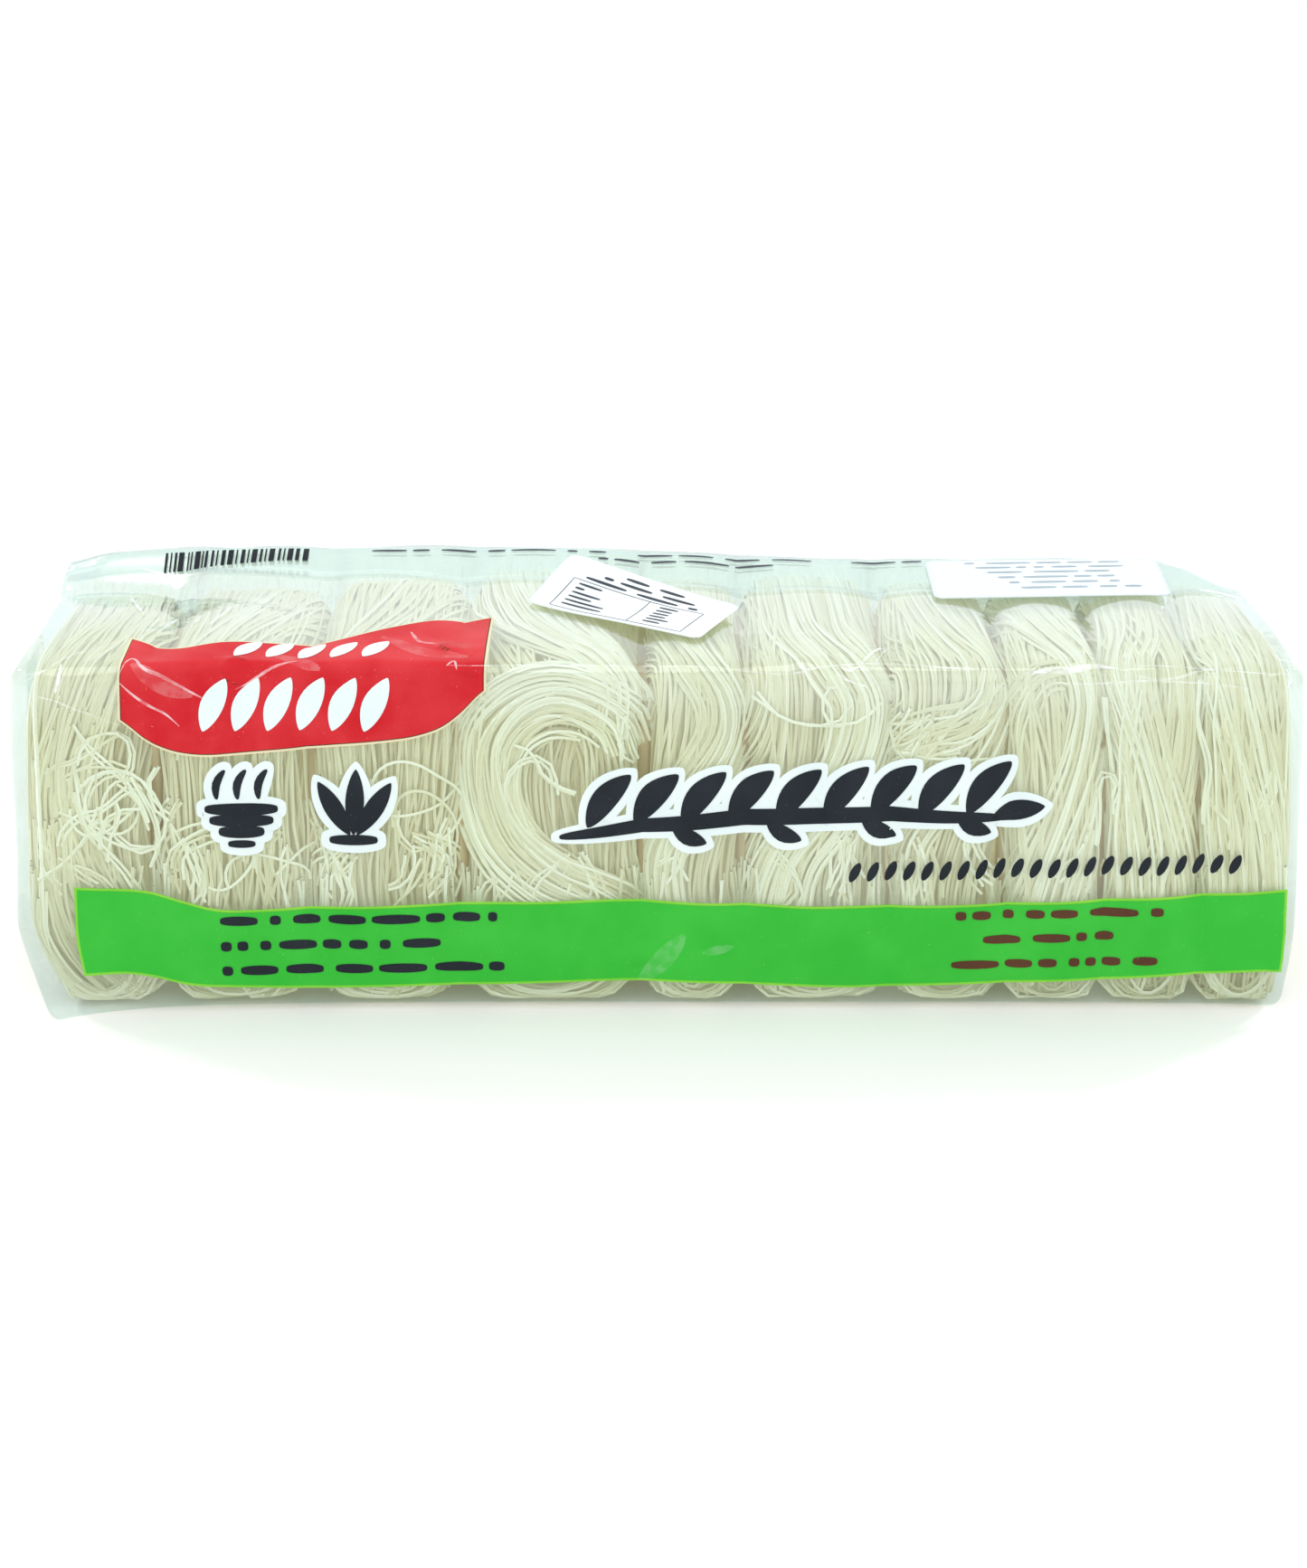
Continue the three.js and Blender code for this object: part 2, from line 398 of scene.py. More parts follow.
def film_relief(x, across, height):
    """How far the film stands out from the block's plain surface, in mm."""
    spot = np.stack([x, across, height], -1)
    end = np.exp((np.abs(x) - LENGTH / 2) / 22)
    upper = ease(height, 8, 20)  # the foot is pressed flat
    # slow waves, finer ones, and folds near the ends
    waves = 0.16 * np.sin(x / 9.3 + across / 7.1) * np.sin(height / 11.7 - x / 31)
    waves += 0.1 * np.sin(x / 4.1 + height / 9.7) * np.cos(across / 5.3 + 1)
    waves += 0.18 * end * np.sin(height / 7.6 + across / 6 + 2 * np.sin(x / 13))
    total = upper * waves
    for start, stop, ridge in creases:
        way = stop - start
        share = np.clip(((spot - start) @ way) / (way @ way), 0, 1)
        gap = np.linalg.norm(spot - start - share[..., None] * way, axis=-1)
        total = total + upper * ridge * (1 - share) ** 0.7 * np.exp(-((gap / CREASE_REACH) ** 2))
    return np.clip(total, *RELIEF_LIMITS)


print(len(creases), "creases")

# %% [markdown]
# ## The film
# The bag is one closed skin round the nests. It is made as a box of fine grids, each
# point of which is pulled onto rounded edges, wrinkled, and carried onto the bag.

# %% Build the skin of a rounded block
SKIN_PITCH = 2.0  # mm
CODE_STEP = 1000  # more than there are grid lines along an axis, so that each point has its own code


def skin_lines(half):
    """Where the grid lines run along one axis, closer together round the edges."""
    inner = half - FILM_RADIUS
    edge = inner + FILM_RADIUS * np.tan(np.pi / 4 * np.arange(1, 4) / 3)
    flat = np.linspace(-inner, inner, round(2 * inner / SKIN_PITCH) + 1)
    return np.concatenate([-edge[::-1], flat, edge])


def block_skin():
    """Points and outward directions of the rounded block, about its middle, and its faces."""
    half = np.array([LENGTH / 2, HALF_DEPTH, HEIGHT / 2])
    lines = [skin_lines(size) for size in half]
    counts = [len(line) - 1 for line in lines]
    quads = []
    for axis in range(3):
        first, second = (axis + 1) % 3, (axis + 2) % 3
        steps = np.meshgrid(np.arange(counts[first] + 1), np.arange(counts[second] + 1), indexing="ij")
        for end in (0, counts[axis]):
            index = [None] * 3
            index[axis], index[first], index[second] = np.full(steps[0].shape, end), *steps
            code = (index[0] * CODE_STEP + index[1]) * CODE_STEP + index[2]
            quad = grid_faces(code)[:, FLIPPED]
            quads.append(quad if end else quad[:, ::-1])
    codes, faces = np.unique(np.concatenate(quads), return_inverse=True)
    picked = [codes // CODE_STEP**2, codes // CODE_STEP % CODE_STEP, codes % CODE_STEP]
    box = np.stack([line[pick] for line, pick in zip(lines, picked)], -1)
    core = np.clip(box, FILM_RADIUS - half, half - FILM_RADIUS)
    out = unit(box - core)
    return core + FILM_RADIUS * out, out, faces.reshape(-1, 4)


skin, outward, skin_quads = block_skin()
skin = skin + [0, 0, HEIGHT / 2]
skin = skin + outward * film_relief(*skin.T)[:, None]
film_points = fill(skin[:, 0], skin[:, 1] / HALF_DEPTH, np.clip(skin[:, 2], 0, None))
print("film reaches", film_points.min(0).round(1), film_points.max(0).round(1))

# %% [markdown]
# ## Clear film as a finish
# Film is almost invisible where we look straight through it and turns into a mirror
# at a slant. Mixing a Transparent shader with a bright smooth metal by a power of the
# slant gives that, the same on both sides of the film. It renders fast, because no
# light is bent. The film is milkier on top, where it is slack, and most so at the rear.

# %% Make the film
CRINKLE_DEPTH = 0.5  # mm
TOP_STARTS, TOP_ENDS = 0.085, 0.1  # m, the heights between which side film turns into top film
REAR_EDGE = 0.036  # m, how far back the milkiest film starts
FRONT_SHARE = 0.45  # of the top's extra shine at its front edge


def film_finish(name, tint, gleam, base, haze, gain, rear=0.0):
    """tint is what the film lets through and gleam what it throws back. base, haze, gain and
    rear say how much gleam there is everywhere, in clouds, at a slant and on top, where it
    grows towards the rear."""
    film = Finish(name)
    crinkle = film.noise(120, 3) + 0.35 * film.noise(420, 2)
    normal = film.bump(crinkle, CRINKLE_DEPTH, 0.35)
    shine = film.principled(Base_Color=gleam, Metallic=0.9, Roughness=0.09, Normal=normal)
    clear = film.node("ShaderNodeBsdfTransparent", {}, {"Color": tint})
    back, up = film.along(1), film.along(2)
    slant = film.node("ShaderNodeLayerWeight", {}, {"Blend": 0.5}, 1)
    share = slant * slant * slant * gain + film.noise(22, 2, (1, 1, 0.35)).above(0.45, 0.7) * haze
    milkier = (back.above(FRONT_TOP * MM, REAR_EDGE) + FRONT_SHARE) * up.above(TOP_STARTS, TOP_ENDS)
    share = share + milkier * rear + base
    return film.show(film.node("ShaderNodeMixShader", {}, {0: share, 1: clear, 2: shine}))


def let_light_in(piece):
    """Lets soft light pass straight through film, as it does through the real one."""
    piece.visible_shadow = False
    piece.visible_diffuse = False


clear_film = film_finish("clear_film", (0.83, 0.89, 0.875, 1.0), (0.9, 0.98, 0.985, 1.0),
                         base=0.05, haze=0.07, gain=0.42, rear=0.3)
let_light_in(make_piece("film", film_points, skin_quads, clear_film))

# %% [markdown]
# ## Strands of noodle
# A nest is a hank: some hundred strands that run together, spread, cross and fray.
# Each strand is a thin three-sided tube along its own path. Paths are drawn on the
# unrolled bag as bundles: a middle line through a few guide points, and strands at
# both sides of it that wander a little and lie at different depths.

# %% Draw a bundle of paths
STRAND_RADIUS = 0.52  # mm, from the middle of a strand to the corners of its section
STRAND_STEP = 4.6  # mm between two rings of a tube
PLAIN_BACK = (200, 280)  # the s between which strands run straight, so half the rings are enough


def smooth_line(guides, step=STRAND_STEP):
    """Even points on a smooth line through guide points, which are pairs of x and s."""
    guides = np.array(guides, float)
    chord = np.concatenate([[0], np.cumsum(np.linalg.norm(np.diff(guides, axis=0), axis=1))])
    slope = np.gradient(guides, chord, axis=0)
    way = np.linspace(0, chord[-1], 30 * len(guides))
    leg = np.clip(np.searchsorted(chord, way, side="right") - 1, 0, len(chord) - 2)
    size = (chord[leg + 1] - chord[leg])[:, None]
    t = (way - chord[leg])[:, None] / size
    line = (guides[leg] * (1 + 2 * t) * (1 - t) ** 2 + guides[leg + 1] * t**2 * (3 - 2 * t)
            + slope[leg] * size * t * (1 - t) ** 2 - slope[leg + 1] * size * t**2 * (1 - t))
    past = np.concatenate([[0], np.cumsum(np.linalg.norm(np.diff(line, axis=0), axis=1))])
    even = np.linspace(0, past[-1], max(4, round(past[-1] / step) + 1))
    points = np.stack([np.interp(even, past, line[:, axis]) for axis in range(2)], -1)
    plain = (points[:, 1] > PLAIN_BACK[0]) & (points[:, 1] < PLAIN_BACK[1])
    return points[~plain | (np.arange(len(points)) % 2 == 0)]


def bundle(rng, guides, count, width, depth=(1.5, 6.0), spread=(1, 1), sway=1.2, fray=(0, 0)):
    """Paths of strands as arrays of x, s and depth, one row a strand."""
    line = smooth_line(guides)
    share = np.linspace(0, 1, len(line))
    way = unit(np.gradient(line, axis=0))
    rank = (np.arange(count)[:, None] + rng.random((count, 1))) / count - 0.5
    cut = rng.random((count, 2)) ** 1.5 * fray
    t = cut[:, :1] + (1 - cut.sum(1, keepdims=True)) * share

    def along(values):
        return np.interp(t, share, values)

    def wave(slow, fast):
        return np.sin(2 * np.pi * (t * rng.uniform(slow, fast, (count, 1)) + rng.random((count, 1))))

    size = width * np.interp(t, np.linspace(0, 1, len(spread)), spread)
    together = np.sin(2 * np.pi * (1.2 * t + 1.6 * rank + rng.random()))
    off = rank * size + sway * (0.7 * together + 0.75 * wave(0.6, 1.4) + 0.22 * wave(2.0, 4.0))
    x = along(line[:, 0]) + along(way[:, 1]) * off
    s = along(line[:, 1]) - along(way[:, 0]) * off
    layer = depth[0] + (depth[1] - depth[0]) * rng.random((count, 1))
    return x, s, layer + 0.7 * wave(0.8, 2.0)


CURL_RADIUS, CURL_TURNS, CURL_DEPTH = (8, 13), (0.45, 0.8), (1.0, 1.6)  # mm, whole turns and mm
CURL_STEP, SAGGING = 2.4, 0.28  # mm between two rings, and the share of curls that sag


def curls(rng, middle, reach, count):
    """Loose strands that arch, or now and then sag, near one place."""
    paths = []
    for _ in range(count):
        turn = 2 * np.pi * rng.uniform(*CURL_TURNS) * rng.choice([-1, 1], p=[1 - SAGGING, SAGGING])
        steps = max(8, round(rng.uniform(*CURL_RADIUS) * abs(turn) / CURL_STEP))
        t = np.linspace(0, 1, steps)
        tilt, phase = rng.normal(0, 0.45), rng.random()
        heading = turn * (t - 0.5) + tilt + 0.3 * np.sin(2 * np.pi * (t * 1.3 + phase))
        way = np.cumsum(np.stack([np.cos(heading), np.sin(heading)], -1), axis=0) * CURL_STEP
        way += middle - way.mean(0) + rng.normal(0, 0.5, 2) * reach
        layer = rng.uniform(*CURL_DEPTH) + 0.3 * np.sin(2 * np.pi * (t + rng.random()))
        paths.append((way[None, :, 0], way[None, :, 1], layer[None]))
    return paths


demo = bundle(np.random.default_rng(0), [(0, 0), (4, 60), (0, 120)], 5, 10)
print("a bundle holds", demo[0].shape, "points")

# %% [markdown]
# ## The form of a nest
# Each nest lies a little below the film, with rounded flanks, so that valleys show
# between the nests. Paths keep to the room between the film and the cores.

# %% Lay paths on a nest
NEST_RADII = (4.5, 14.0, 14.0, 8.0)  # mm, of the front foot, front top, back top and back foot
SHALLOWEST, DEEPEST = 1.2, 14.0  # mm below the film
RING_ROOM, EDGE_BLEND = 2.5, 1.5  # mm that the end nests leave for the rings, and how softly
END_ROOM, END_REACH = (1.6, 1.0), 38.0  # mm from the film at the two ends, and how far in that tells
FLANK_DEPTH, FLANK_MORE, FLANK_SPAN = 8.0, 2.0, (0.55, 1.15)  # mm, mm more on top, share of half a width
TOP_STRETCH = ((96, 116), (178, 196))  # where s comes onto the top and leaves it
CALM, CALM_STRETCH = 0.6, ((140, 172), (200, 230))  # how much flatter strands lie at the rear edge


def hold(depth):
    """Eases depths into the room between the film and the cores."""
    depth = SHALLOWEST + np.log1p(np.exp(3 * (depth - SHALLOWEST))) / 3
    return DEEPEST - np.log1p(np.exp(DEEPEST - depth))


def stretch(s, starts, ends):
    """1 along a stretch of s and 0 beyond it."""
    return ease(s, *starts) * (1 - ease(s, *ends))


def clear_of_ends(x):
    """Draws the two end nests in a little from the film."""
    left, right = (room * ease(side * x, LENGTH / 2 - END_REACH, LENGTH / 2)
                   for side, room in zip((-1, 1), END_ROOM))
    return np.clip(x, -LENGTH / 2, LENGTH / 2) + left - right


def nest_middle(nest):
    return (NEST_EDGES[nest] + NEST_EDGES[nest + 1]) / 2


def flank(s, share):
    """How much deeper than its middle a nest lies at a share of its half width."""
    most = FLANK_DEPTH + FLANK_MORE * stretch(s, *TOP_STRETCH)
    return most * ease(np.abs(share), *FLANK_SPAN) ** 1.6


def nest_point(x, s, depth, nest):
    """Where a path of a nest leads, with rounded flanks and a calm rear edge."""
    room = LENGTH / 2 - RING_ROOM - np.abs(x)
    x = np.sign(x) * (LENGTH / 2 - RING_ROOM - EDGE_BLEND * np.logaddexp(0, room / EDGE_BLEND))
    calm = 1 - CALM * stretch(s, *CALM_STRETCH)
    share = (x - nest_middle(nest)) / (NEST_WIDTHS[nest] / 2)
    depth = SHALLOWEST + (depth - SHALLOWEST) * calm + flank(s, share)
    across, height = roll(s, hold(depth), NEST_RADII)
    return fill(clear_of_ends(x), across / HALF_DEPTH, height, nest_top(nest), OTHER_EARS)


print("flanks lie", FLANK_DEPTH, "to", FLANK_DEPTH + FLANK_MORE, "mm deeper than a nest's middle")

# %% [markdown]
# ## Tubes along the paths
# The tubes of a nest are joined into one mesh. Three sides are enough for something
# less than a millimetre thick when its shading is smooth, and one corner of the section
# faces out. Noodle scatters light inside itself, which evens out its shading, so the
# shading directions of the two inner corners are turned outwards too.

# %% Turn paths into tubes
CORNER_ANGLES = np.radians([90, 210, 330])  # of a tube's section, with 90 degrees outwards
PROBE = 0.4  # mm, the step that finds the outward direction
UV_SHARE = 0.8  # of a UV row that a side takes up, so that rows keep apart


def tubes(paths, place, rank=2):
    """Points, faces, UVs and shading directions of the tubes along paths, where place
    carries a path into space and rank says which of its three values orders the strands."""
    points, faces, sizes, looks = [], [], [], []
    first = 0
    for x, s, depth in paths:
        middle = place(x, s, depth)
        out = place(x, s, depth - PROBE) - middle
        way = np.gradient(middle, axis=1)
        side = unit(np.cross(way, out))
        up = unit(np.cross(side, way))
        ring = [middle + STRAND_RADIUS * (np.cos(a) * side + np.sin(a) * up) for a in CORNER_ANGLES]
        rows, columns = middle.shape[:2]
        points.append(np.stack(ring, 2).reshape(-1, 3))
        looks.append(unit(np.stack([up, up - side, up + side], 2)).reshape(-1, 3))
        start = first + np.arange(rows * columns).reshape(rows, columns) * 3
        for corner in range(3):
            here, there = start + corner, start + (corner + 1) % 3
            four = [here[:, :-1], here[:, 1:], there[:, 1:], there[:, :-1]]
            faces.append(np.stack(four, -1).reshape(-1, 4))
        sizes.append(columns)
        first += 3 * rows * columns
    corners = tube_corners([path[rank].mean(1) for path in paths], sizes)
    return np.concatenate(points), np.concatenate(faces), corners, np.concatenate(looks)


def tube_corners(ranks, sizes):
    """A UV row for every side of every strand, with the outermost strands in the lowest rows."""
    order = np.argsort(np.argsort(np.concatenate(ranks)))
    total = 3 * len(order)
    corners, first = [], 0
    for columns, rows in zip(sizes, map(len, ranks)):
        u = np.linspace(0, 1, columns)
        row = 3 * order[first:first + rows, None]
        first += rows
        for corner in range(3):
            v = (row + corner + np.zeros((1, columns - 1))) / total
            left, right = np.broadcast_to(u[:-1], v.shape), np.broadcast_to(u[1:], v.shape)
            top = v + UV_SHARE / total
            corners.append(np.stack([left, v, right, v, right, top, left, top], -1).reshape(-1, 2))
    return np.concatenate(corners)


print("strands are", round(1.5 * STRAND_RADIUS, 2), "mm thick")

# %% [markdown]
# ## Dried noodle as a finish
# Dried rice noodle is pale cream and lets light through, so the gaps between strands
# stay bright and warm. A faint glow of the noodle's own colour is painted light that
# stands for that light. UV rows run from the outermost strand to the innermost one, so
# outer strands can be whiter and inner ones tan with painted shade, and no two strands
# have quite the same tone. The painted shade is deeper on the front than on top, where
# the tones are paler with painted light, and all tones darken a little towards the
# foot with painted shade, where less light gets in.

# %% Make the noodle finish
# painted light and shade: tones are paler on top and darker towards the foot
TOP_LIGHT_HEIGHTS = (0.088, 0.104)  # m, between which the front's tones turn into the top's
FOOT_SHADE_HEIGHT = 0.055  # m, below which noodles darken

noodle = Finish("dried_rice_noodle")
rows = noodle.node("ShaderNodeUVMap", {"uv_map": PIECE_UV})
inward = noodle.node("ShaderNodeSeparateXYZ", {}, {"Vector": rows}, 1)
rows = noodle.node("ShaderNodeMapping", {}, {"Vector": rows, "Scale": (1.4, 190, 1)})
strand_tone = noodle.node("ShaderNodeTexNoise", {}, {"Vector": rows, "Scale": 1.0, "Detail": 1.0})
strand_tone = strand_tone.above(0.3, 0.7)
outer = noodle.mix(strand_tone, colour(227, 232, 208), colour(239, 244, 226))
# painted light: the mask of the top, where tones are paler than on the front
top = noodle.along(2).above(*TOP_LIGHT_HEIGHTS)
shaded_front_body = noodle.mix(top, colour(206, 203, 164), colour(214, 212, 174))
lit_top_body = noodle.mix(top, colour(227, 228, 198), colour(231, 232, 203))
body = noodle.mix(strand_tone, shaded_front_body, lit_top_body)
# painted shade: inner strands turn tan, more so on the front than on top
tone = noodle.mix(inward.above(0.03, 0.2), outer, body)
deep = noodle.mix(top, colour(178, 168, 116), colour(222, 220, 172))
tone = noodle.mix(inward.above(0.25, 1.0) * 0.9, tone, deep)
tone = noodle.mix(noodle.noise(38, 2).above(0.35, 0.75) * 0.3, tone, colour(220, 221, 198))
# painted shade: darker towards the foot, most for the inner strands
foot = 1 - noodle.along(2).above(0.0, FOOT_SHADE_HEIGHT)
tone = noodle.mix(foot * (inward.above(0.05, 0.35) * 0.42 + 0.36), tone, colour(124, 130, 90))
# the constant glow is painted light that stands for light passing through noodle
noodle.show(noodle.principled(
    Base_Color=tone, Roughness=0.42, Specular_IOR_Level=0.3,
    Emission_Color=colour(232, 228, 180), Emission_Strength=0.22,
    Normal=noodle.bump(noodle.noise(700, 2), 0.06, 0.4)))

# painted shade and light: the core's tan stands for deep strands in shade, its glow for light through
# noodle
shade = Finish("inner_noodle_painted_shade")
streaks = shade.noise(260, 3, (1, 0.08, 0.08))
tone = shade.mix(streaks.above(0.35, 0.65), colour(216, 210, 156), colour(236, 231, 192))
# painted shade: darker towards the foot
tone = shade.mix((1 - shade.along(2).above(0.0, FOOT_SHADE_HEIGHT)) * 0.75, tone, colour(132, 138, 98))
shade.show(shade.principled(
    Base_Color=tone, Roughness=0.7, Normal=shade.bump(streaks, 0.6),
    Emission_Color=colour(236, 222, 160), Emission_Strength=0.18))
print("two noodle finishes")

# %% [markdown]
# ## What every nest has
# Most strands of a nest run right round it: up the front, over the top and down the
# back. At the foot they sling round in a U. Where a loop was cut, short ends cross
# over the others. These three kinds are made for every nest by the same rules.

# %% Strands that every nest has
LOOPS_PER_MM = 3.3  # strands round a nest for each mm of its width
LOCK = 5  # strands in a lock of cut ends
LOCK_LENGTH, LOCK_WIDTH, LOCK_DEPTH = (14, 28), (2.5, 6.5), (1.1, 2.4)  # mm
DRAPE_S = [-14, 12, 36, 70, 103, 144, 184, 240, 298]  # of a drape's guide points, from foot to foot
DRAPE_SPREAD = np.array([1, 0.98, 0.94, 1.05, 1.14, 1.14, 1.06, 1, 1])  # of its width there
DRAPE_LAYERS = [  # share of the strands, width, near or far, how far a layer strays in mm
    (0.22, 0.92, 0, 1.9), (0.22, 0.96, 0, 1.6), (0.18, 0.9, 0, 2.4), (0.2, 1.05, 1, 1.2),
    (0.18, 1.0, 1, 2.6),
]


def drapes(rng, nest, leans, depth):
    """Strands all round a nest, whose middle line is pushed along X by leans, in mm."""
    width = NEST_WIDTHS[nest]
    deep = (depth[0] + 2, depth[1] + 2.4)
    paths = []
    for share, wide, layer, stray in DRAPE_LAYERS:
        guides = [(nest_middle(nest) + lean + stray * rng.normal(), s)
                  for lean, s in zip(leans, DRAPE_S)]
        spread = DRAPE_SPREAD + 0.06 * rng.normal(size=len(DRAPE_SPREAD))
        count = round(LOOPS_PER_MM * width * share)
        paths.append(bundle(rng, guides, count, width * wide, (depth, deep)[layer], spread,
                            sway=1.5, fray=(0.05, 0.05)))
    return paths


def slings(rng, nest):
    """The foot of a nest, where strands turn from the front back up again."""
    middle, width = nest_middle(nest), NEST_WIDTHS[nest]
    sides = [(-0.5, 44), (-0.45, 18), (-0.26, 5), (0, 1), (0.26, 5), (0.45, 18), (0.5, 44)]
    guides = [(middle + share * width, s) for share, s in sides]
    return [bundle(rng, guides, round(0.9 * width), 9, (1.2, 5), (1.4, 1, 1.4), 1.2, (0.1, 0.1))]


def ends(rng, middle, reach, count, lean):
    """Short cut strands in small locks, which cross over the others near one place. lean is
    how far they stray from upright, in degrees."""
    paths = []
    for _ in range(max(1, round(count / LOCK))):
        size = rng.uniform(*LOCK_LENGTH)
        angle = math.radians(90 + rng.normal(0, lean))
        bow = rng.normal(0, 0.16)
        way = np.array([math.cos(angle), math.sin(angle)])
        start = middle + rng.uniform(-1, 1, 2) * reach
        guides = [start + size * (share * way + arc * bow * np.array([-way[1], way[0]]))
                  for share, arc in ((-0.5, 0), (-0.2, 1), (0.2, 0.7), (0.5, -0.3))]
        paths.append(bundle(rng, guides, LOCK, rng.uniform(*LOCK_WIDTH), LOCK_DEPTH, (1.6, 1, 0.7),
                            sway=0.8, fray=(0.25, 0.25)))
    return paths


print("strands round the widest nest:", round(LOOPS_PER_MM * NEST_WIDTHS.max()))

# %% [markdown]
# ## How each nest lies
# No two nests lie alike. Each has its own lean from foot to back, and bundles of its
# own that arch, hook over or cross on the front. A bundle is given by its guide
# points (x and s), its number of strands and its width, so a nest is a short list.

# %% Leans of the ten nests, from the foot round to the back
LEANS = [
    [7, 4, -1, 0, 7, 11, 9, 4, 4], [2, 1, 0, 0, 0, 1, 0, 1, 0], [0, 0, -1, 0, 1, 0, 1, 0, 0],
    [4, 3, 2, 0, 2, -3, -5, 0, 2], [-3, -4, -4, 1, 3, -2, -3, 0, 0],
    [-6, -8, -6, 3, 5, 0, -2, 0, 0], [-6, -7, -6, 2, 4, 1, 0, 2, 0], [2, 3, 3, 1, 0, -1, -2, 0, 0],
    [0, 0, 1, 1, 0, -1, -2, 0, 1], [2, 3, 2, 0, -4, -7, -7, -2, 0],
]
FRONT_DEPTHS = [  # mm, of the strands that run round each nest
    (2.9, 5.8), (2.4, 5.4), (2.4, 5.4), (4.2, 7.2), (2.8, 5.8), (2.8, 5.8), (2.8, 5.8), (2.2, 5),
    (2.2, 5), (1.6, 4.6),
]

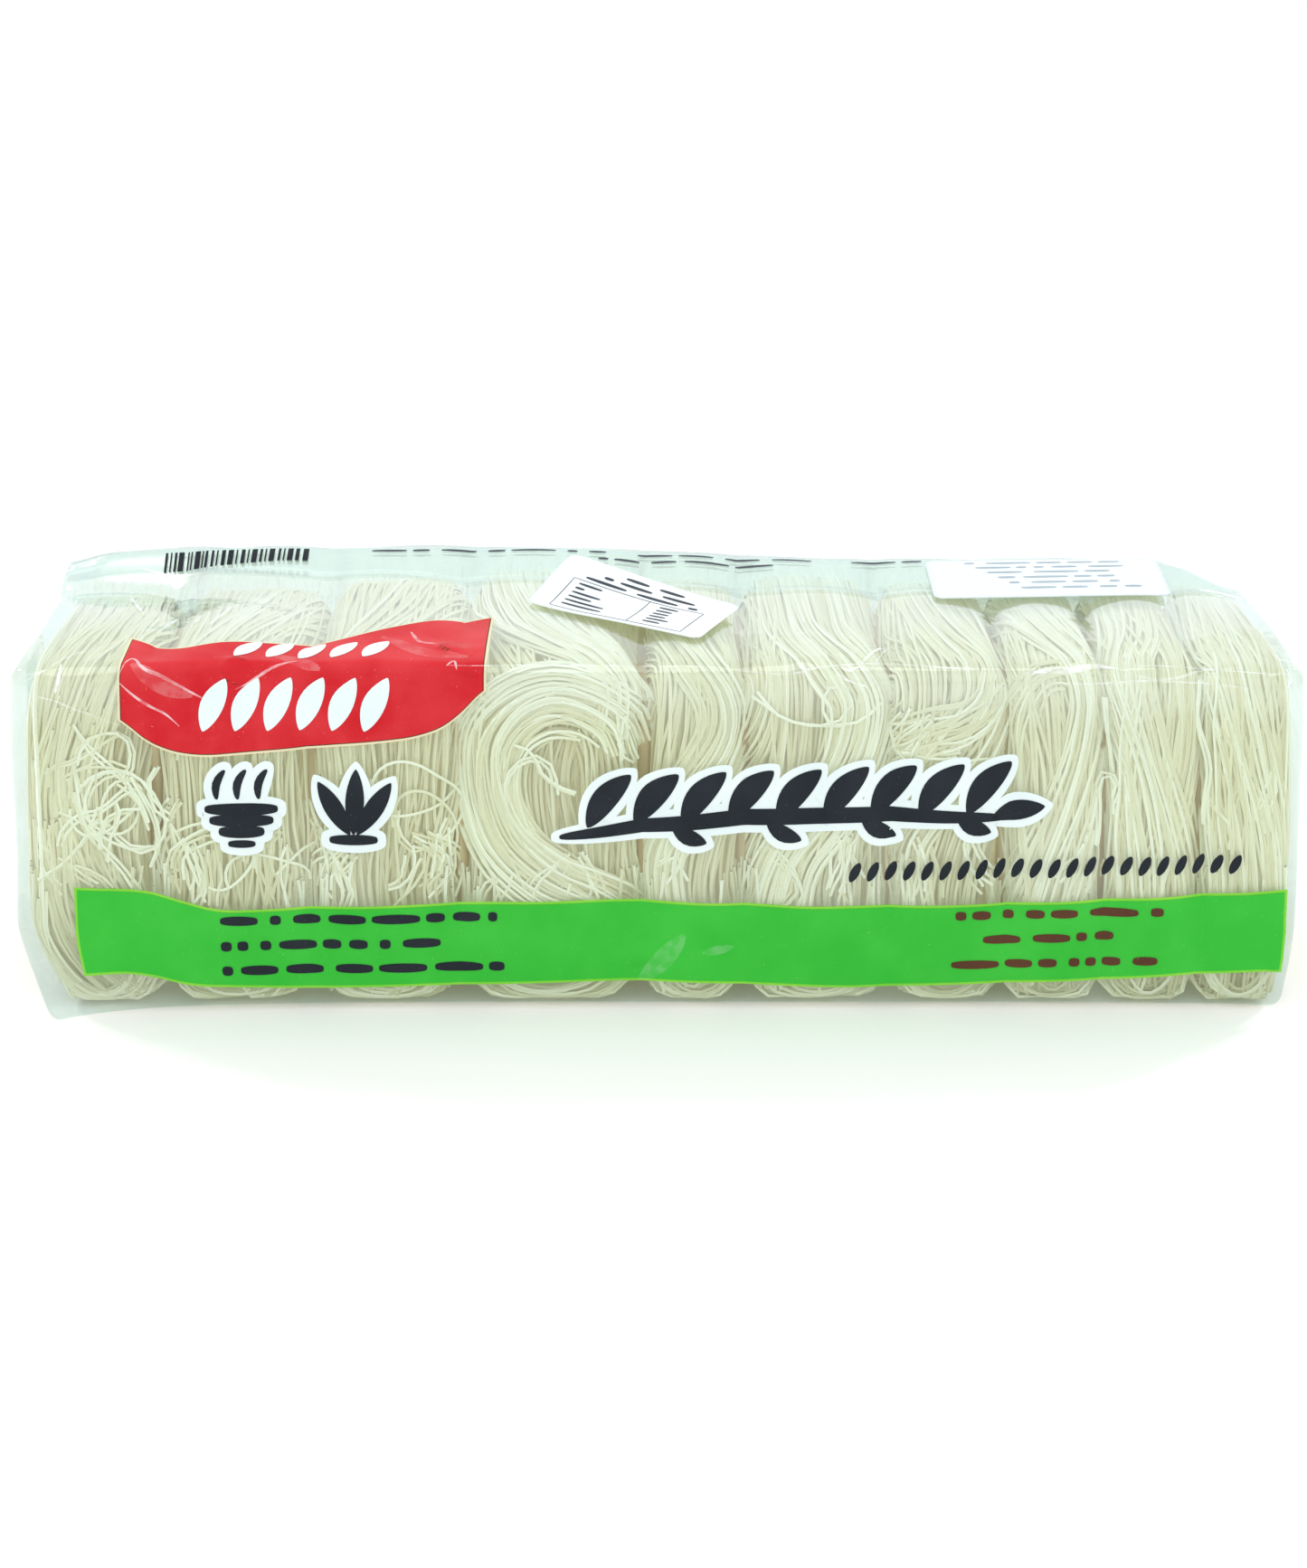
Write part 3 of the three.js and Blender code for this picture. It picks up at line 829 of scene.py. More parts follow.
# %% Bundles that only one nest has: guides, strands, width, depth, spread, fray
OWN_BUNDLES = {
    0: [
        ([(-166, 96), (-172, 70), (-168, 44), (-158, 24), (-152, 8)], 40, 20, (2.0, 4.6), (1, 1),
         (0.3, 0.1)),
        ([(-175, 60), (-173, 34), (-165, 13), (-153, 3), (-141, 2), (-133, 10)], 42, 13, (1.7, 5.0),
         (1, 1), (0.05, 0.12)),
        ([(-150, 150), (-154, 120), (-160, 98), (-168, 74), (-170, 50)], 26, 18, (2.0, 4.2),
         (1.2, 1), (0.05, 0.3)),
    ],
    1: [
        ([(-121, 15), (-120, 5), (-117, 0), (-112, 0), (-109, 5), (-109, 15)], 3, 1.6, (1.0, 2.0),
         (1, 1), (0, 0)),
        ([(-104, 178), (-112, 150), (-122, 124), (-128, 100), (-130, 76)], 34, 22, (1.2, 4),
         (1.2, 1), (0, 0.3)),
    ],
    2: [
        ([(-86, 15), (-84, 5), (-80, 0), (-76, 3), (-75, 12)], 3, 1.6, (1.0, 2.0), (1, 1), (0, 0)),
        ([(-62, 178), (-70, 150), (-80, 124), (-88, 100), (-88, 70)], 34, 22, (1.2, 4), (1.2, 1),
         (0, 0.3)),
    ],
    3: [
        ([(-42, 178), (-38, 150), (-28, 128), (-16, 113), (-8, 102), (-8, 82)], 95, 33, (1.3, 4.6),
         (1, 1, 0.9, 0.6, 0.5, 0.6), (0, 0.25)),
        ([(-5, 78), (-9, 89), (-18, 96), (-30, 99), (-42, 94), (-50, 83), (-51, 68), (-46, 52),
          (-32, 38), (-14, 28), (-9, 6)], 95, 19, (1.3, 5.5), (0.8, 0.9, 1, 1.1, 1.1), (0.1, 0.1)),
        ([(-12, 82), (-20, 88), (-31, 89), (-40, 82), (-43, 68), (-38, 53), (-27, 42), (-14, 32)],
         34, 10, (1.8, 4.8), (1.3, 1, 1, 1.2), (0.2, 0.15)),
        ([(-21, 94), (-15, 84), (-12, 66), (-13, 46), (-10, 22), (-11, 2)], 50, 17, (3, 7), (1, 1),
         (0.1, 0)),
        ([(-51, 106), (-55, 82), (-53, 60), (-43, 40), (-36, 18)], 40, 8, (1.6, 6), (1, 1.3),
         (0.1, 0.1)),
    ],
    4: [
        ([(4, 178), (6, 150), (9, 125), (14, 108), (20, 97), (21, 86), (14, 72), (5, 60), (0, 46),
          (1, 30), (6, 4)], 85, 21, (1.3, 5.5), (1, 1, 0.9, 0.8, 0.8, 0.9), (0, 0.15)),
    ],
    5: [
        ([(43, 178), (45, 150), (48, 125), (55, 108), (61, 95), (59, 80), (49, 62), (38, 46),
          (34, 28), (35, 4)], 95, 26, (1.3, 5.5), (1, 1, 1, 0.8, 0.8, 1), (0, 0.1)),
        ([(30, 150), (30, 116), (31, 98), (28, 84), (19, 66), (10, 48), (7, 30)], 45, 12,
         (1.8, 5.5), (1, 1), (0.1, 0.25)),
        ([(28, 97), (36, 90), (46, 87), (58, 89), (64, 94)], 2, 2, (1.0, 1.4), (1, 1), (0, 0)),
        ([(50, 88), (46, 93), (49, 99), (54, 98), (53, 92), (47, 88)], 1, 1, (0.9, 1.0), (1, 1),
         (0, 0)),
    ],
    6: [
        ([(82, 178), (85, 150), (91, 125), (97, 108), (97, 96), (90, 82), (77, 66), (68, 52),
          (69, 30), (74, 4)], 70, 26, (1.4, 6), (1, 1, 0.9, 0.9, 1), (0, 0.2)),
        ([(71, 168), (71, 120), (73, 100), (71, 80), (65, 60), (60, 40)], 32, 13, (1.8, 6), (1, 1),
         (0.1, 0.3)),
        ([(99, 104), (96, 95), (88, 88), (77, 84), (67, 78), (61, 68)], 26, 15, (1.4, 3.0),
         (0.8, 1), (0.1, 0.35)),
    ],
    7: [
        ([(109, 178), (112, 150), (118, 125), (124, 108), (126, 96), (124, 80), (119, 62),
          (113, 44), (109, 26), (110, 4)], 75, 21, (1.3, 5), (1.1, 1, 0.8, 0.7, 0.9, 1), (0, 0.05)),
        ([(124, 100), (117, 104), (109, 102), (104, 92), (102, 74), (102, 52), (105, 30), (108, 8)],
         34, 9, (1.8, 5), (1, 1), (0.2, 0.1)),
        ([(114, 176), (113, 140), (112, 112), (113, 90), (114, 60), (116, 30), (116, 4)], 36, 20,
         (2.6, 6), (1, 1), (0, 0.1)),
    ],
    8: [
        ([(143, 178), (142, 150), (139, 125), (134, 109), (134, 98), (139, 80), (145, 60),
          (149, 40), (149, 22), (146, 4)], 75, 21, (1.3, 5), (1.1, 1, 0.8, 0.6, 0.9, 1), (0, 0.05)),
        ([(152, 150), (152, 120), (151, 100), (152, 84), (149, 62), (144, 42), (140, 24), (140, 6)],
         34, 11, (1.8, 5), (1, 1), (0.1, 0.1)),
        ([(136, 112), (133, 90), (133, 66), (134, 42), (135, 14)], 26, 7, (1.6, 4.4), (1, 1),
         (0.1, 0.15)),
    ],
    9: [
        ([(166, 176), (165, 140), (164, 112), (165, 98), (170, 78), (176, 54), (178, 34), (174, 8)],
         75, 22, (1.3, 5), (1, 1, 0.8, 1, 1), (0, 0.1)),
        ([(178, 130), (178, 108), (175, 88), (168, 64), (163, 40), (163, 12)], 30, 10, (1.8, 4.4),
         (1, 1), (0.1, 0.2)),
        ([(160, 114), (158, 95), (158, 70), (160, 45), (163, 20)], 20, 4, (1.2, 3), (1, 1.6),
         (0, 0.2)),
    ],
}

# %% Single strands that lie across a nest
STRAYS = {  # for each nest, the guides of its strays
    0: [
        [(-168, 77), (-167, 70), (-165, 61), (-163, 54), (-158, 48), (-153, 42), (-149, 34)],
        [(-170, 72), (-168, 64), (-165, 56), (-160, 50), (-155, 43), (-150, 36)],
        [(-173, 61), (-168, 59), (-163, 56), (-157, 52), (-152, 50), (-146, 48), (-143, 51),
         (-141, 57), (-143, 63), (-146, 69), (-150, 73), (-157, 74), (-163, 72), (-167, 68),
         (-169, 63)],
        [(-165, 61), (-164, 66), (-161, 71), (-155, 73), (-150, 72), (-146, 66)],
        [(-173, 51), (-171, 56), (-166, 60), (-159, 62), (-155, 66), (-150, 69)],
        [(-164, 57), (-161, 59), (-158, 57), (-155, 53), (-150, 50), (-143, 49)],
        [(-160, 50), (-160, 57), (-156, 60), (-148, 61)],
        [(-167, 76), (-165, 82), (-159, 85), (-153, 85), (-150, 81), (-150, 76), (-153, 70)],
        [(-177, 73), (-172, 76), (-167, 77), (-161, 81), (-156, 84), (-151, 86)],
        [(-180, 40), (-173, 44), (-168, 49), (-163, 56), (-160, 63)],
        [(-174, 47), (-168, 42), (-162, 38)], [(-172, 42), (-166, 44), (-161, 41), (-157, 35)],
        [(-151, 72), (-148, 66), (-145, 58), (-144, 50), (-147, 42)],
        [(-143, 74), (-146, 69), (-144, 62), (-138, 58)],
        [(-174, 60), (-174, 67), (-171, 72), (-165, 75), (-157, 76), (-151, 74)],
        [(-159, 46), (-158, 54), (-155, 60), (-157, 66)],
        [(-168, 88), (-163, 80), (-157, 74), (-150, 66), (-146, 54)],
    ],
    2: [
        [(-74, 62), (-74, 53), (-70, 49), (-65, 50)],
    ],
    3: [
        [(-43, 60), (-43, 72), (-40, 76), (-35, 78), (-31, 75), (-29, 66)],
        [(-41, 81), (-36, 79), (-33, 72), (-28, 68), (-22, 66)],
        [(-33, 92), (-30, 97), (-24, 99), (-20, 97)],
    ],
    6: [
        [(70, 79), (79, 78), (87, 79)],
    ],
    7: [
        [(135, 94), (143, 85), (147, 78)], [(128, 96), (130, 81), (132, 69), (132, 55)],
    ],
    8: [
        [(127, 50), (127, 62), (127, 70), (129, 73), (132, 71), (132, 65), (130, 61)],
        [(156, 102), (155, 89), (159, 74), (158, 59), (160, 50)],
    ],
    9: [
        [(162, 96), (165, 81), (171, 72), (176, 59), (178, 50)],
    ],
}

# %% Loose curls and cut ends: nest, middle, reach and number, and the lean of cut ends
CURLS = [
    (0, (-158, 60), (6, 8), 3), (2, (-67, 66), (4, 7), 3), (6, (84, 70), (7, 6), 3),
    (1, (-120, 46), (14, 4), 3),
]
ENDS = [
    (1, (-122, 46), (20, 8), 40, 17), (2, (-80, 46), (20, 9), 44, 17), (3, (-30, 40), (18, 7), 20, 17),
    (3, (-9, 78), (4, 5), 7, 8), (5, (42, 42), (16, 6), 18, 17), (6, (82, 76), (10, 8), 12, 32),
    (6, (82, 42), (14, 8), 16, 17), (7, (115, 42), (10, 8), 10, 17), (9, (170, 52), (10, 20), 10, 12),
    (0, (-162, 40), (14, 8), 7, 35), (4, (8, 44), (10, 8), 10, 17),
]
BACK_ENDS_S = 236  # every nest has some down its back as well
ENDS += [(nest, (nest_middle(nest), BACK_ENDS_S), (0.4 * NEST_WIDTHS[nest], 24), 20, 20)
         for nest in range(10)]
print(len(CURLS), "places with curls and", len(ENDS), "with cut ends")

# %% [markdown]
# ## The open sides of the two end nests
# Seen from the end, a hank is a coil: its strands run in rounded rings, one inside
# the other. The first and the last nest show that side, so they get rings as well.

# %% Rings on the ends
RINGS = 120  # on each end
RING_SPAN, RING_SWAY = 0.86, 0.03  # shares of the way from the rim to the middle
RING_ROUND = 36.0  # mm, the radius that the corners of the innermost ring would have at full size
RING_DEPTH, RING_LAYERS = 1.4, 2.2  # mm, how far in the rings start, and through how much they lie
RIM_DEPTH = 3.0  # mm, how much further in they lie at the rim
RIM_ROOM = 2.0  # mm between the film and the outermost ring


def side_point(side):
    """Where a path on one end leads. Its x is how far from the rim to the middle it runs, from
    0 to 1, and its depth how far in it lies."""
    top = nest_top(0 if side < 0 else 9)

    def place(x, s, depth):
        radii = [corner + (RING_ROUND - corner) * float(x.mean()) for corner in NEST_RADII]
        across, height = roll(s, RIM_ROOM, radii)
        size = 1 - x
        height = HEIGHT / 2 + (height - HEIGHT / 2) * size
        along = clear_of_ends(side * (LENGTH / 2 - depth))
        return fill(along, across * size / HALF_DEPTH, height, top, OTHER_EARS)
    return place


def rings(rng):
    paths = []
    for inner in np.sort(rng.random(RINGS)) ** 0.8 * RING_SPAN:
        steps = max(24, round(round_length(NEST_RADII) * (1 - inner) / STRAND_STEP))
        t = np.linspace(0, rng.uniform(0.7, 1.3), steps)
        s = round_length(NEST_RADII) * (t + rng.random())
        lane = inner + RING_SWAY * np.sin(2 * np.pi * (t * rng.uniform(1, 2.5) + rng.random()))
        wave = 0.6 * np.sin(2 * np.pi * (2 * t + rng.random()))
        rim = RIM_DEPTH * ease(1 - lane, 0.7, 1.02) ** 1.5
        depth = RING_DEPTH + rim + RING_LAYERS * rng.random() + wave
        paths.append((lane[None], s[None], depth[None]))
    return paths


# %% Build the ten nests
BRIDGE = 0.8  # how far a stray strand lifts out of the valleys between nests, as a share


def bridged(nest, x, s, depth):
    return x, s, depth - BRIDGE * flank(s, 2 * (x - nest_middle(nest)) / NEST_WIDTHS[nest])


def nest_paths(nest):
    rng = np.random.default_rng(100 + nest)
    paths = drapes(rng, nest, LEANS[nest], FRONT_DEPTHS[nest]) + slings(rng, nest)
    for guides, count, width, depth, spread, fray in OWN_BUNDLES[nest]:
        paths.append(bundle(rng, guides, count, width, depth, spread, 1.0, fray))
    for guides in STRAYS.get(nest, []):
        pair = bundle(rng, guides, 2, 2.4, (1.0, 2.2), (0.5, 1), 0.3, (0, 0.12))
        paths.append(bridged(nest, *pair))
    for owner, *row in CURLS:
        if owner == nest:
            paths += curls(rng, *row)
    for owner, *row in ENDS:
        if owner == nest:
            paths += ends(rng, *row)
    return paths


strand_faces = 0
for nest in range(10):
    paths = nest_paths(nest)
    points, faces, corners, looks = tubes(paths, lambda x, s, depth: nest_point(x, s, depth, nest))
    make_piece(f"nest_{nest + 1:02d}", points, faces, noodle, corners=corners, looks=looks)
    strand_faces += 2 * len(faces)
for side, name in ((-1, "left"), (1, "right")):
    points, faces, corners, _ = tubes(rings(np.random.default_rng(7 + side)), side_point(side), 0)
    make_piece(f"nest_rings_{name}", points, faces, noodle, corners=corners)
    strand_faces += 2 * len(faces)
print("strands hold", strand_faces, "triangles")

# %% [markdown]
# ## The inside of the nests
# Strands deep inside are never seen one by one. A closed streaked core in each nest
# stops the eye there. Its tan colour is painted shade and its faint glow painted light,
# which give the gaps between strands their warm tone. Between two nests the gap is
# deeper, so a narrow brown core of painted shade fills each of those.

# %% Build the cores
CORE_DEPTH, CORE_CROWN = 7.2, 5.5  # mm, how deep a core lies, and how much deeper at its sides
CORE_RADII, CORE_TURNS = (11.0, 19.0, 19.0, 15.0), 48  # mm, and the number of points round a core
CORE_HALF = 0.505  # of a nest's width, so that neighbouring cores overlap a little
CORE_SIDE = 0.06  # where the first ring of a core lies, as a share of the way across
GAP_HALF, GAP_DEPTH, GAP_CROWN = 2.2, 1.8, 2.0  # mm, for a gap, whose depth counts from the flanks
CORE_RINGS, GAP_RINGS = 12, 6  # from side to side
END_CORE = 9.0  # mm, how far the outer cores keep from the ends

# painted shade: the gap cores are brown sheets where the valleys between nests lie in shade
gap_shade = Finish("painted_shade_between_nests")
streaks = gap_shade.noise(260, 3, (1, 0.08, 0.08))
gap_shade.show(gap_shade.principled(
    Base_Color=gap_shade.mix(streaks.above(0.35, 0.65), colour(204, 178, 124), colour(222, 204, 154)),
    Roughness=0.8, Normal=gap_shade.bump(streaks, 0.6)))


def core(middle, half, depth, rings, top, first):
    """A closed rounded ring round the block, where depth is a function of the share of half
    and of s."""
    s = np.linspace(0, round_length(CORE_RADII), CORE_TURNS, endpoint=False)[None]
    u = -np.cos(np.pi * np.linspace(CORE_SIDE, 1 - CORE_SIDE, rings))[:, None]
    across, height = roll(s + 0 * u, depth(u, s), CORE_RADII)
    points = fill(clear_of_ends(middle + half * u + 0 * s), across / HALF_DEPTH, height, top, OTHER_EARS)
    index = first + np.arange(rings * CORE_TURNS).reshape(rings, CORE_TURNS)
    around = grid_faces(np.concatenate([index, index[:, :1]], axis=1))[:, FLIPPED]
    return points.reshape(-1, 3), around.tolist() + [index[0].tolist(), index[-1, ::-1].tolist()]


def build_cores(name, places, rings, finish):
    points, faces = [], []
    for middle, half, depth, top in places:
        more = core(middle, half, depth, rings, top, sum(map(len, points)))
        points.append(more[0])
        faces += more[1]
    make_piece(name, np.concatenate(points), faces, finish)


def core_depth(u, s):
    return CORE_DEPTH + CORE_CROWN * np.abs(u) ** 4 + 0 * s


def gap_depth(u, s):
    return GAP_DEPTH + flank(s, 1.0) + GAP_CROWN * np.abs(u) ** 3


edges = NEST_EDGES + np.array([END_CORE] + [0] * 9 + [-END_CORE])
build_cores("nest_cores", [
    ((left + right) / 2, CORE_HALF * (right - left), core_depth, nest_top(nest))
    for nest, (left, right) in enumerate(zip(edges, edges[1:]))], CORE_RINGS, shade)
# painted shade between neighbouring nests
build_cores("nest_gap_shades", [
    (edge, GAP_HALF, gap_depth, nest_top(nest))
    for nest, edge in enumerate(NEST_EDGES[1:-1])], GAP_RINGS, gap_shade)

# %% [markdown]
# ## Print on the film
# The print is ink on the outer side of the film. Each field and each motif is its own
# thin patch, which follows the film's own wrinkles a fraction of a millimetre further
# out. Motifs are built from one shape: a grain, pointed or round at its ends.

# %% Helpers for print
PRINT_PITCH = 1.1  # mm


def film_point(x, s, depth):
    """A point at a depth under the wrinkled film, at x along the bag and s round it."""
    across, height = roll(s, 0.0, FILM_RADII)
    inner = roll(s, 1.0, FILM_RADII)
    stand = film_relief(x, across, height) - depth
    across, height = across + (across - inner[0]) * stand, height + (height - inner[1]) * stand
    return fill(x, across / HALF_DEPTH, np.clip(height, 0.02, None))


class Print:
    """Collects the patches of one ink and makes one piece of them."""

    def __init__(self, depth, carry=film_point):
        self.depth, self.carry, self.points, self.faces, self.first = depth, carry, [], [], 0

    def patch(self, x, s):
        rows, columns = x.shape
        self.points.append(self.carry(x, s, self.depth).reshape(-1, 3))
        self.faces.append(sheet_faces(rows, columns) + self.first)
        self.first += rows * columns

    def field(self, left, right, low, high, rim):
        """A field between two edge lines, each a list of x and s; rim makes it smaller all round."""
        columns = max(2, round((right - left) / PRINT_PITCH))
        x = np.linspace(left + rim, right - rim, columns)
        edges = [soft_edge(x, low) + rim, soft_edge(x, high) - rim]
        rows = max(2, round(float((edges[1] - edges[0]).max()) / PRINT_PITCH))
        share = np.linspace(0, 1, rows)[:, None]
        self.patch(np.broadcast_to(x, (rows, columns)), edges[0] + (edges[1] - edges[0]) * share)

    def grain(self, start, end, width, point, bow=0.0, grow=0.0):
        """A grain from start to end; point 0.25 gives round ends and 1 sharp ones."""
        start, end = np.array(start, float), np.array(end, float)
        size = np.linalg.norm(end - start)
        way = (end - start) / size
        start, size = start - way * grow, size + 2 * grow
        t = (1 - np.cos(np.pi * np.linspace(0, 1, max(9, round(size / PRINT_PITCH) + 1)))) / 2
        half = (width / 2 + grow) * np.sin(np.pi * t) ** point
        lane = np.linspace(-1, 1, max(3, round(width / PRINT_PITCH) + 1))[:, None]
        off = half * lane + bow * np.sin(np.pi * t)
        x = start[0] + way[0] * size * t - way[1] * off
        s = start[1] + way[1] * size * t + way[0] * off
        self.patch(x, s)

    def stroke(self, guides, width):
        """A slim ribbon along a smooth line, which runs out to a point at both ends."""
        line = smooth_line(guides, PRINT_PITCH)
        way = unit(np.gradient(line, axis=0))
        taper = np.sin(np.pi * np.linspace(0.02, 0.98, len(line))) ** 0.6
        off = width / 2 * taper * np.array([[-1], [0], [1]])
        self.patch(line[:, 0] - way[:, 1] * off, line[:, 1] + way[:, 0] * off)

    def done(self, name, finish, slot="filled_film", replaced="bag"):
        points, faces = np.concatenate(self.points), np.concatenate(self.faces)
        return make_piece(name, points, faces, finish, slot, replaced)


def soft_edge(x, stops):
    """A line through stops of x and s with its corners rounded off."""
    stops = np.array(stops, float)
    reach = np.linspace(-5, 5, 11)
    return np.mean([np.interp(x + shift, stops[:, 0], stops[:, 1]) for shift in reach], axis=0)


print("print grids have a pitch of", PRINT_PITCH, "mm")

# %% [markdown]
# ## Ink as a finish
# Ink on film is even but not perfect: it has fine pale specks where it missed, and
# faint clouds. Two noises give both.

# %% Make the inks
def ink(name, main, cloud, speck):
    made = Finish(name)
    clouds = made.noise(60, 3).above(0.3, 0.75)
    specks = made.noise(1500, 1).above(0.73, 0.8) * 0.45
    base = made.mix(specks, made.mix(clouds, main, cloud), speck)
    return made.show(made.principled(Base_Color=base, Roughness=0.32, Specular_IOR_Level=0.12))


red_ink = ink("red_ink", colour(202, 24, 36), colour(214, 54, 60), colour(240, 150, 150))
green_ink = ink("green_ink", colour(52, 182, 54), colour(62, 190, 62), colour(150, 225, 130))
rim_ink = ink("yellow_green_ink", colour(120, 205, 60), colour(140, 212, 70), colour(190, 230, 140))
cream_ink = ink("cream_ink", colour(226, 214, 176), colour(232, 222, 186), colour(240, 235, 210))
white_ink = ink("white_ink", colour(226, 238, 238), colour(234, 243, 242), colour(245, 250, 250))
black_ink = ink("black_ink", colour(30, 36, 42), colour(38, 44, 50), colour(110, 118, 122))
brown_ink = ink("brown_ink", colour(84, 52, 36), colour(92, 58, 40), colour(140, 150, 80))
print("seven inks")

# %% [markdown]
# ## The red panel
# A red field wraps over the front edge onto the top. Its upper edge dips and its
# lower corners are round. Two rows of slanting white grains stand on it.

# %% Print the red panel
PANEL = (-153.6, -48.6)
PANEL_LOW = [
    (-154, 92), (-149, 84.5), (-141, 80), (-130, 78.5), (-103, 80.5), (-68, 84), (-58, 88),
    (-48, 100),
]
PANEL_HIGH = [
    (-154, 125), (-140, 115.5), (-124, 120), (-100, 119), (-86, 126), (-64, 138), (-48, 141.5),
]


def print_field(sides, low, high, layers):
    """Prints one field in layers of ink, each given by its name, depth, rim and ink."""
    for name, depth, rim, finish in layers:
        layer = Print(depth)
        layer.field(*sides, low, high, rim)
        layer.done(name, finish)


print_field(PANEL, PANEL_LOW, PANEL_HIGH, [
    ("panel_rim", -0.12, 0.0, cream_ink), ("panel_line", -0.2, 0.7, brown_ink),
    ("panel_field", -0.28, 1.0, red_ink)])
grains = Print(-0.38)
for number in range(6):
    x = -127 + 9.2 * number
    grains.grain((x - 2.5, 86.5), (x + 4.5, 102), 6.6, 0.7, 0.6)
for number in range(5):
    x = -119 + 9.2 * number
    grains.grain((x - 2, 109), (x + 4.5, 119), 5.6, 0.7, 0.5)
grains.done("panel_grains", white_ink)

# %% [markdown]
# ## The green band
# A green band with a thin yellow-green rim runs along the foot of the front. Its
# edges rise and fall with the film. Plain bars stand where small print would be.

# %% Print the green band
BAND = (-167.6, 181.6)
BAND_LOW = [
    (-168, 12.2), (-153, 12.4), (-135, 7.8), (-100, 6.6), (-45, 7.8), (-10, 9), (55, 6.6),
    (125, 9), (182, 12.8),
]
BAND_HIGH = [
    (-168, 39), (-150, 38), (-126, 31.4), (-80, 33), (-12, 35), (40, 32.8), (80, 33),
    (125, 34.5), (182, 38),
]
print_field(BAND, BAND_LOW, BAND_HIGH, [
    ("band_rim", -0.12, 0.0, rim_ink), ("band_field", -0.22, 0.8, green_ink)])


def bars(layer, rng, left, right, s, height, rise=0.0):
    """A row of round-ended bars of uneven length, which stands for a line of small print."""
    x = left
    while x < right - 2:
        size = min(rng.choice([3.2, 5.5, 8.0, 11.0, 14.0]), right - x)
        lift = rise * (x - left) / (right - left)
        layer.grain((x, s + lift), (x + size, s + lift), height, 0.22)
        x += size + rng.choice([1.6, 2.2, 3.4])


left_bars, right_bars = Print(-0.32), Print(-0.32)
rng = np.random.default_rng(5)
for s, right in ((28.2, -46), (20.2, -60), (12.6, -44)):
    bars(left_bars, rng, -126, right, s, 3.0, 1.2)
for s, left, right in ((29.8, 86, 146), (22.2, 94, 136), (14.2, 85, 145)):
    bars(right_bars, rng, left, right, s, 2.8, 1.4)
left_bars.done("band_bars_left", black_ink)
right_bars.done("band_bars_right", brown_ink)

# %% [markdown]
# ## The black motifs
# Above the band stand dark motifs with a broad white outline: an ear of rice lying
# along the front, and two small signs made of grains. Each is printed twice, first a
# little larger in white and then in black on top.

# %% Print the black motifs
def rice_ear(layer, grow):
    """A bowed stem with pairs of grains, from left to right."""
    layer.grain((-28, 54.5), (100, 60), 5.0, 0.3, 3.5, grow)
    for number in range(9):
        x, s = -20 + 13.6 * number, 57.5 + 0.5 * number
        layer.grain((x, s), (x + 12.5, s + 15.5), 7.4, 0.65, 1.4, grow)
        if number % 2 == 0 and number:
            layer.grain((x - 3, s - 0.5), (x + 7, s - 6), 5.0, 0.65, -0.8, grow)
    layer.grain((96, 60), (111, 64), 6.0, 0.7, 0.5, grow)


def bowl_sign(layer, grow):
    """A bowl on a foot with three strands over it."""
    for row, half in enumerate((10.5, 9.2, 6.6)):
        layer.grain((-119 - half, 63 - 3.4 * row), (-119 + half, 63 - 3.4 * row), 3.8, 0.25, 0, grow)
    layer.grain((-123, 52.5), (-115, 52.5), 2.4, 0.25, 0, grow)
    for x in (-125, -119, -113):
        layer.grain((x - 1, 66), (x + 1.5, 75), 2.4, 0.4, 1.2, grow)


def grain_sign(layer, grow):
    """Three long grains fanning out from a short bar."""
    for start, end in (((-88, 55), (-97, 71)), ((-87, 55), (-86, 75)), ((-86, 55), (-76, 71))):
        layer.grain(start, end, 5.4, 0.7, 0, grow)
    layer.grain((-94, 53.5), (-80, 53.5), 3.2, 0.25, 0, grow)


white, black = Print(-0.14), Print(-0.26)
for layer, grow in ((white, 2.4), (black, 0.0)):
    for draw in (rice_ear, bowl_sign, grain_sign):
        draw(layer, grow)
for number in range(22):
    x, s = 56.5 + 5.2 * number, 40.4 + 0.13 * number
    black.grain((x - 1, s), (x + 1.8, s + 6), 2.7, 0.5)
white.done("motif_outline", white_ink)
black.done("motif", black_ink)

# %% [markdown]
# ## The rear strip and the seals
# The bag is made from one web of film whose two edges lap over each other. The outer
# layer starts at a free edge on the top and runs over the crest and down the back.
# Two layers look milkier than one. Each end has a crimped seal, folded flat.

# %% Build the rear strip
STRIP_LIFT, STRIP_THICK = 0.45, 0.12  # mm
STRIP_ROWS, STRIP_COLUMNS = 34, 170
STRIP_ENDS = (2, 3)  # mm that it stays clear of the left and the right end
STRIP_FRONTS = [  # x and s of its free edge
    (-184, 172), (-150, 170), (-116, 164), (-60, 159), (0, 156), (80, 154), (130, 151), (184, 163),
]
STRIP_FOOT = 280  # how far down the back the outer layer runs, as s


def strip_point(x, share, lift):
    """A point of the strip, with share from its free edge to its foot on the back."""
    front = np.interp(x, *np.array(STRIP_FRONTS, float).T)
    return film_point(x, front + (STRIP_FOOT - front) * share, -lift)


milky_film = film_finish("milky_film", (0.97, 0.99, 0.985, 1.0), (0.86, 0.96, 0.94, 1.0),
                         base=0.12, haze=0.1, gain=0.3)
strip_x = np.linspace(STRIP_ENDS[0] - LENGTH / 2, LENGTH / 2 - STRIP_ENDS[1], STRIP_COLUMNS)[None]
strip_share = np.linspace(0, 1, STRIP_ROWS)[:, None]
outer, inner = (strip_point(*np.broadcast_arrays(strip_x, strip_share, lift))
                for lift in (STRIP_LIFT + STRIP_THICK, STRIP_LIFT))
let_light_in(make_piece("rear_strip", *slab(outer, inner), milky_film))


# %% Build the seals
SEAL_WIDTH, SEAL_HEIGHT, SEAL_PITCH = 12.0, 84.0, 1.5  # mm, the last one between two crimps
SEAL_RISE, SEAL_CRIMP, SEAL_WAVE, SEAL_BED = 0.75, 0.35, 0.2, 0.3  # mm


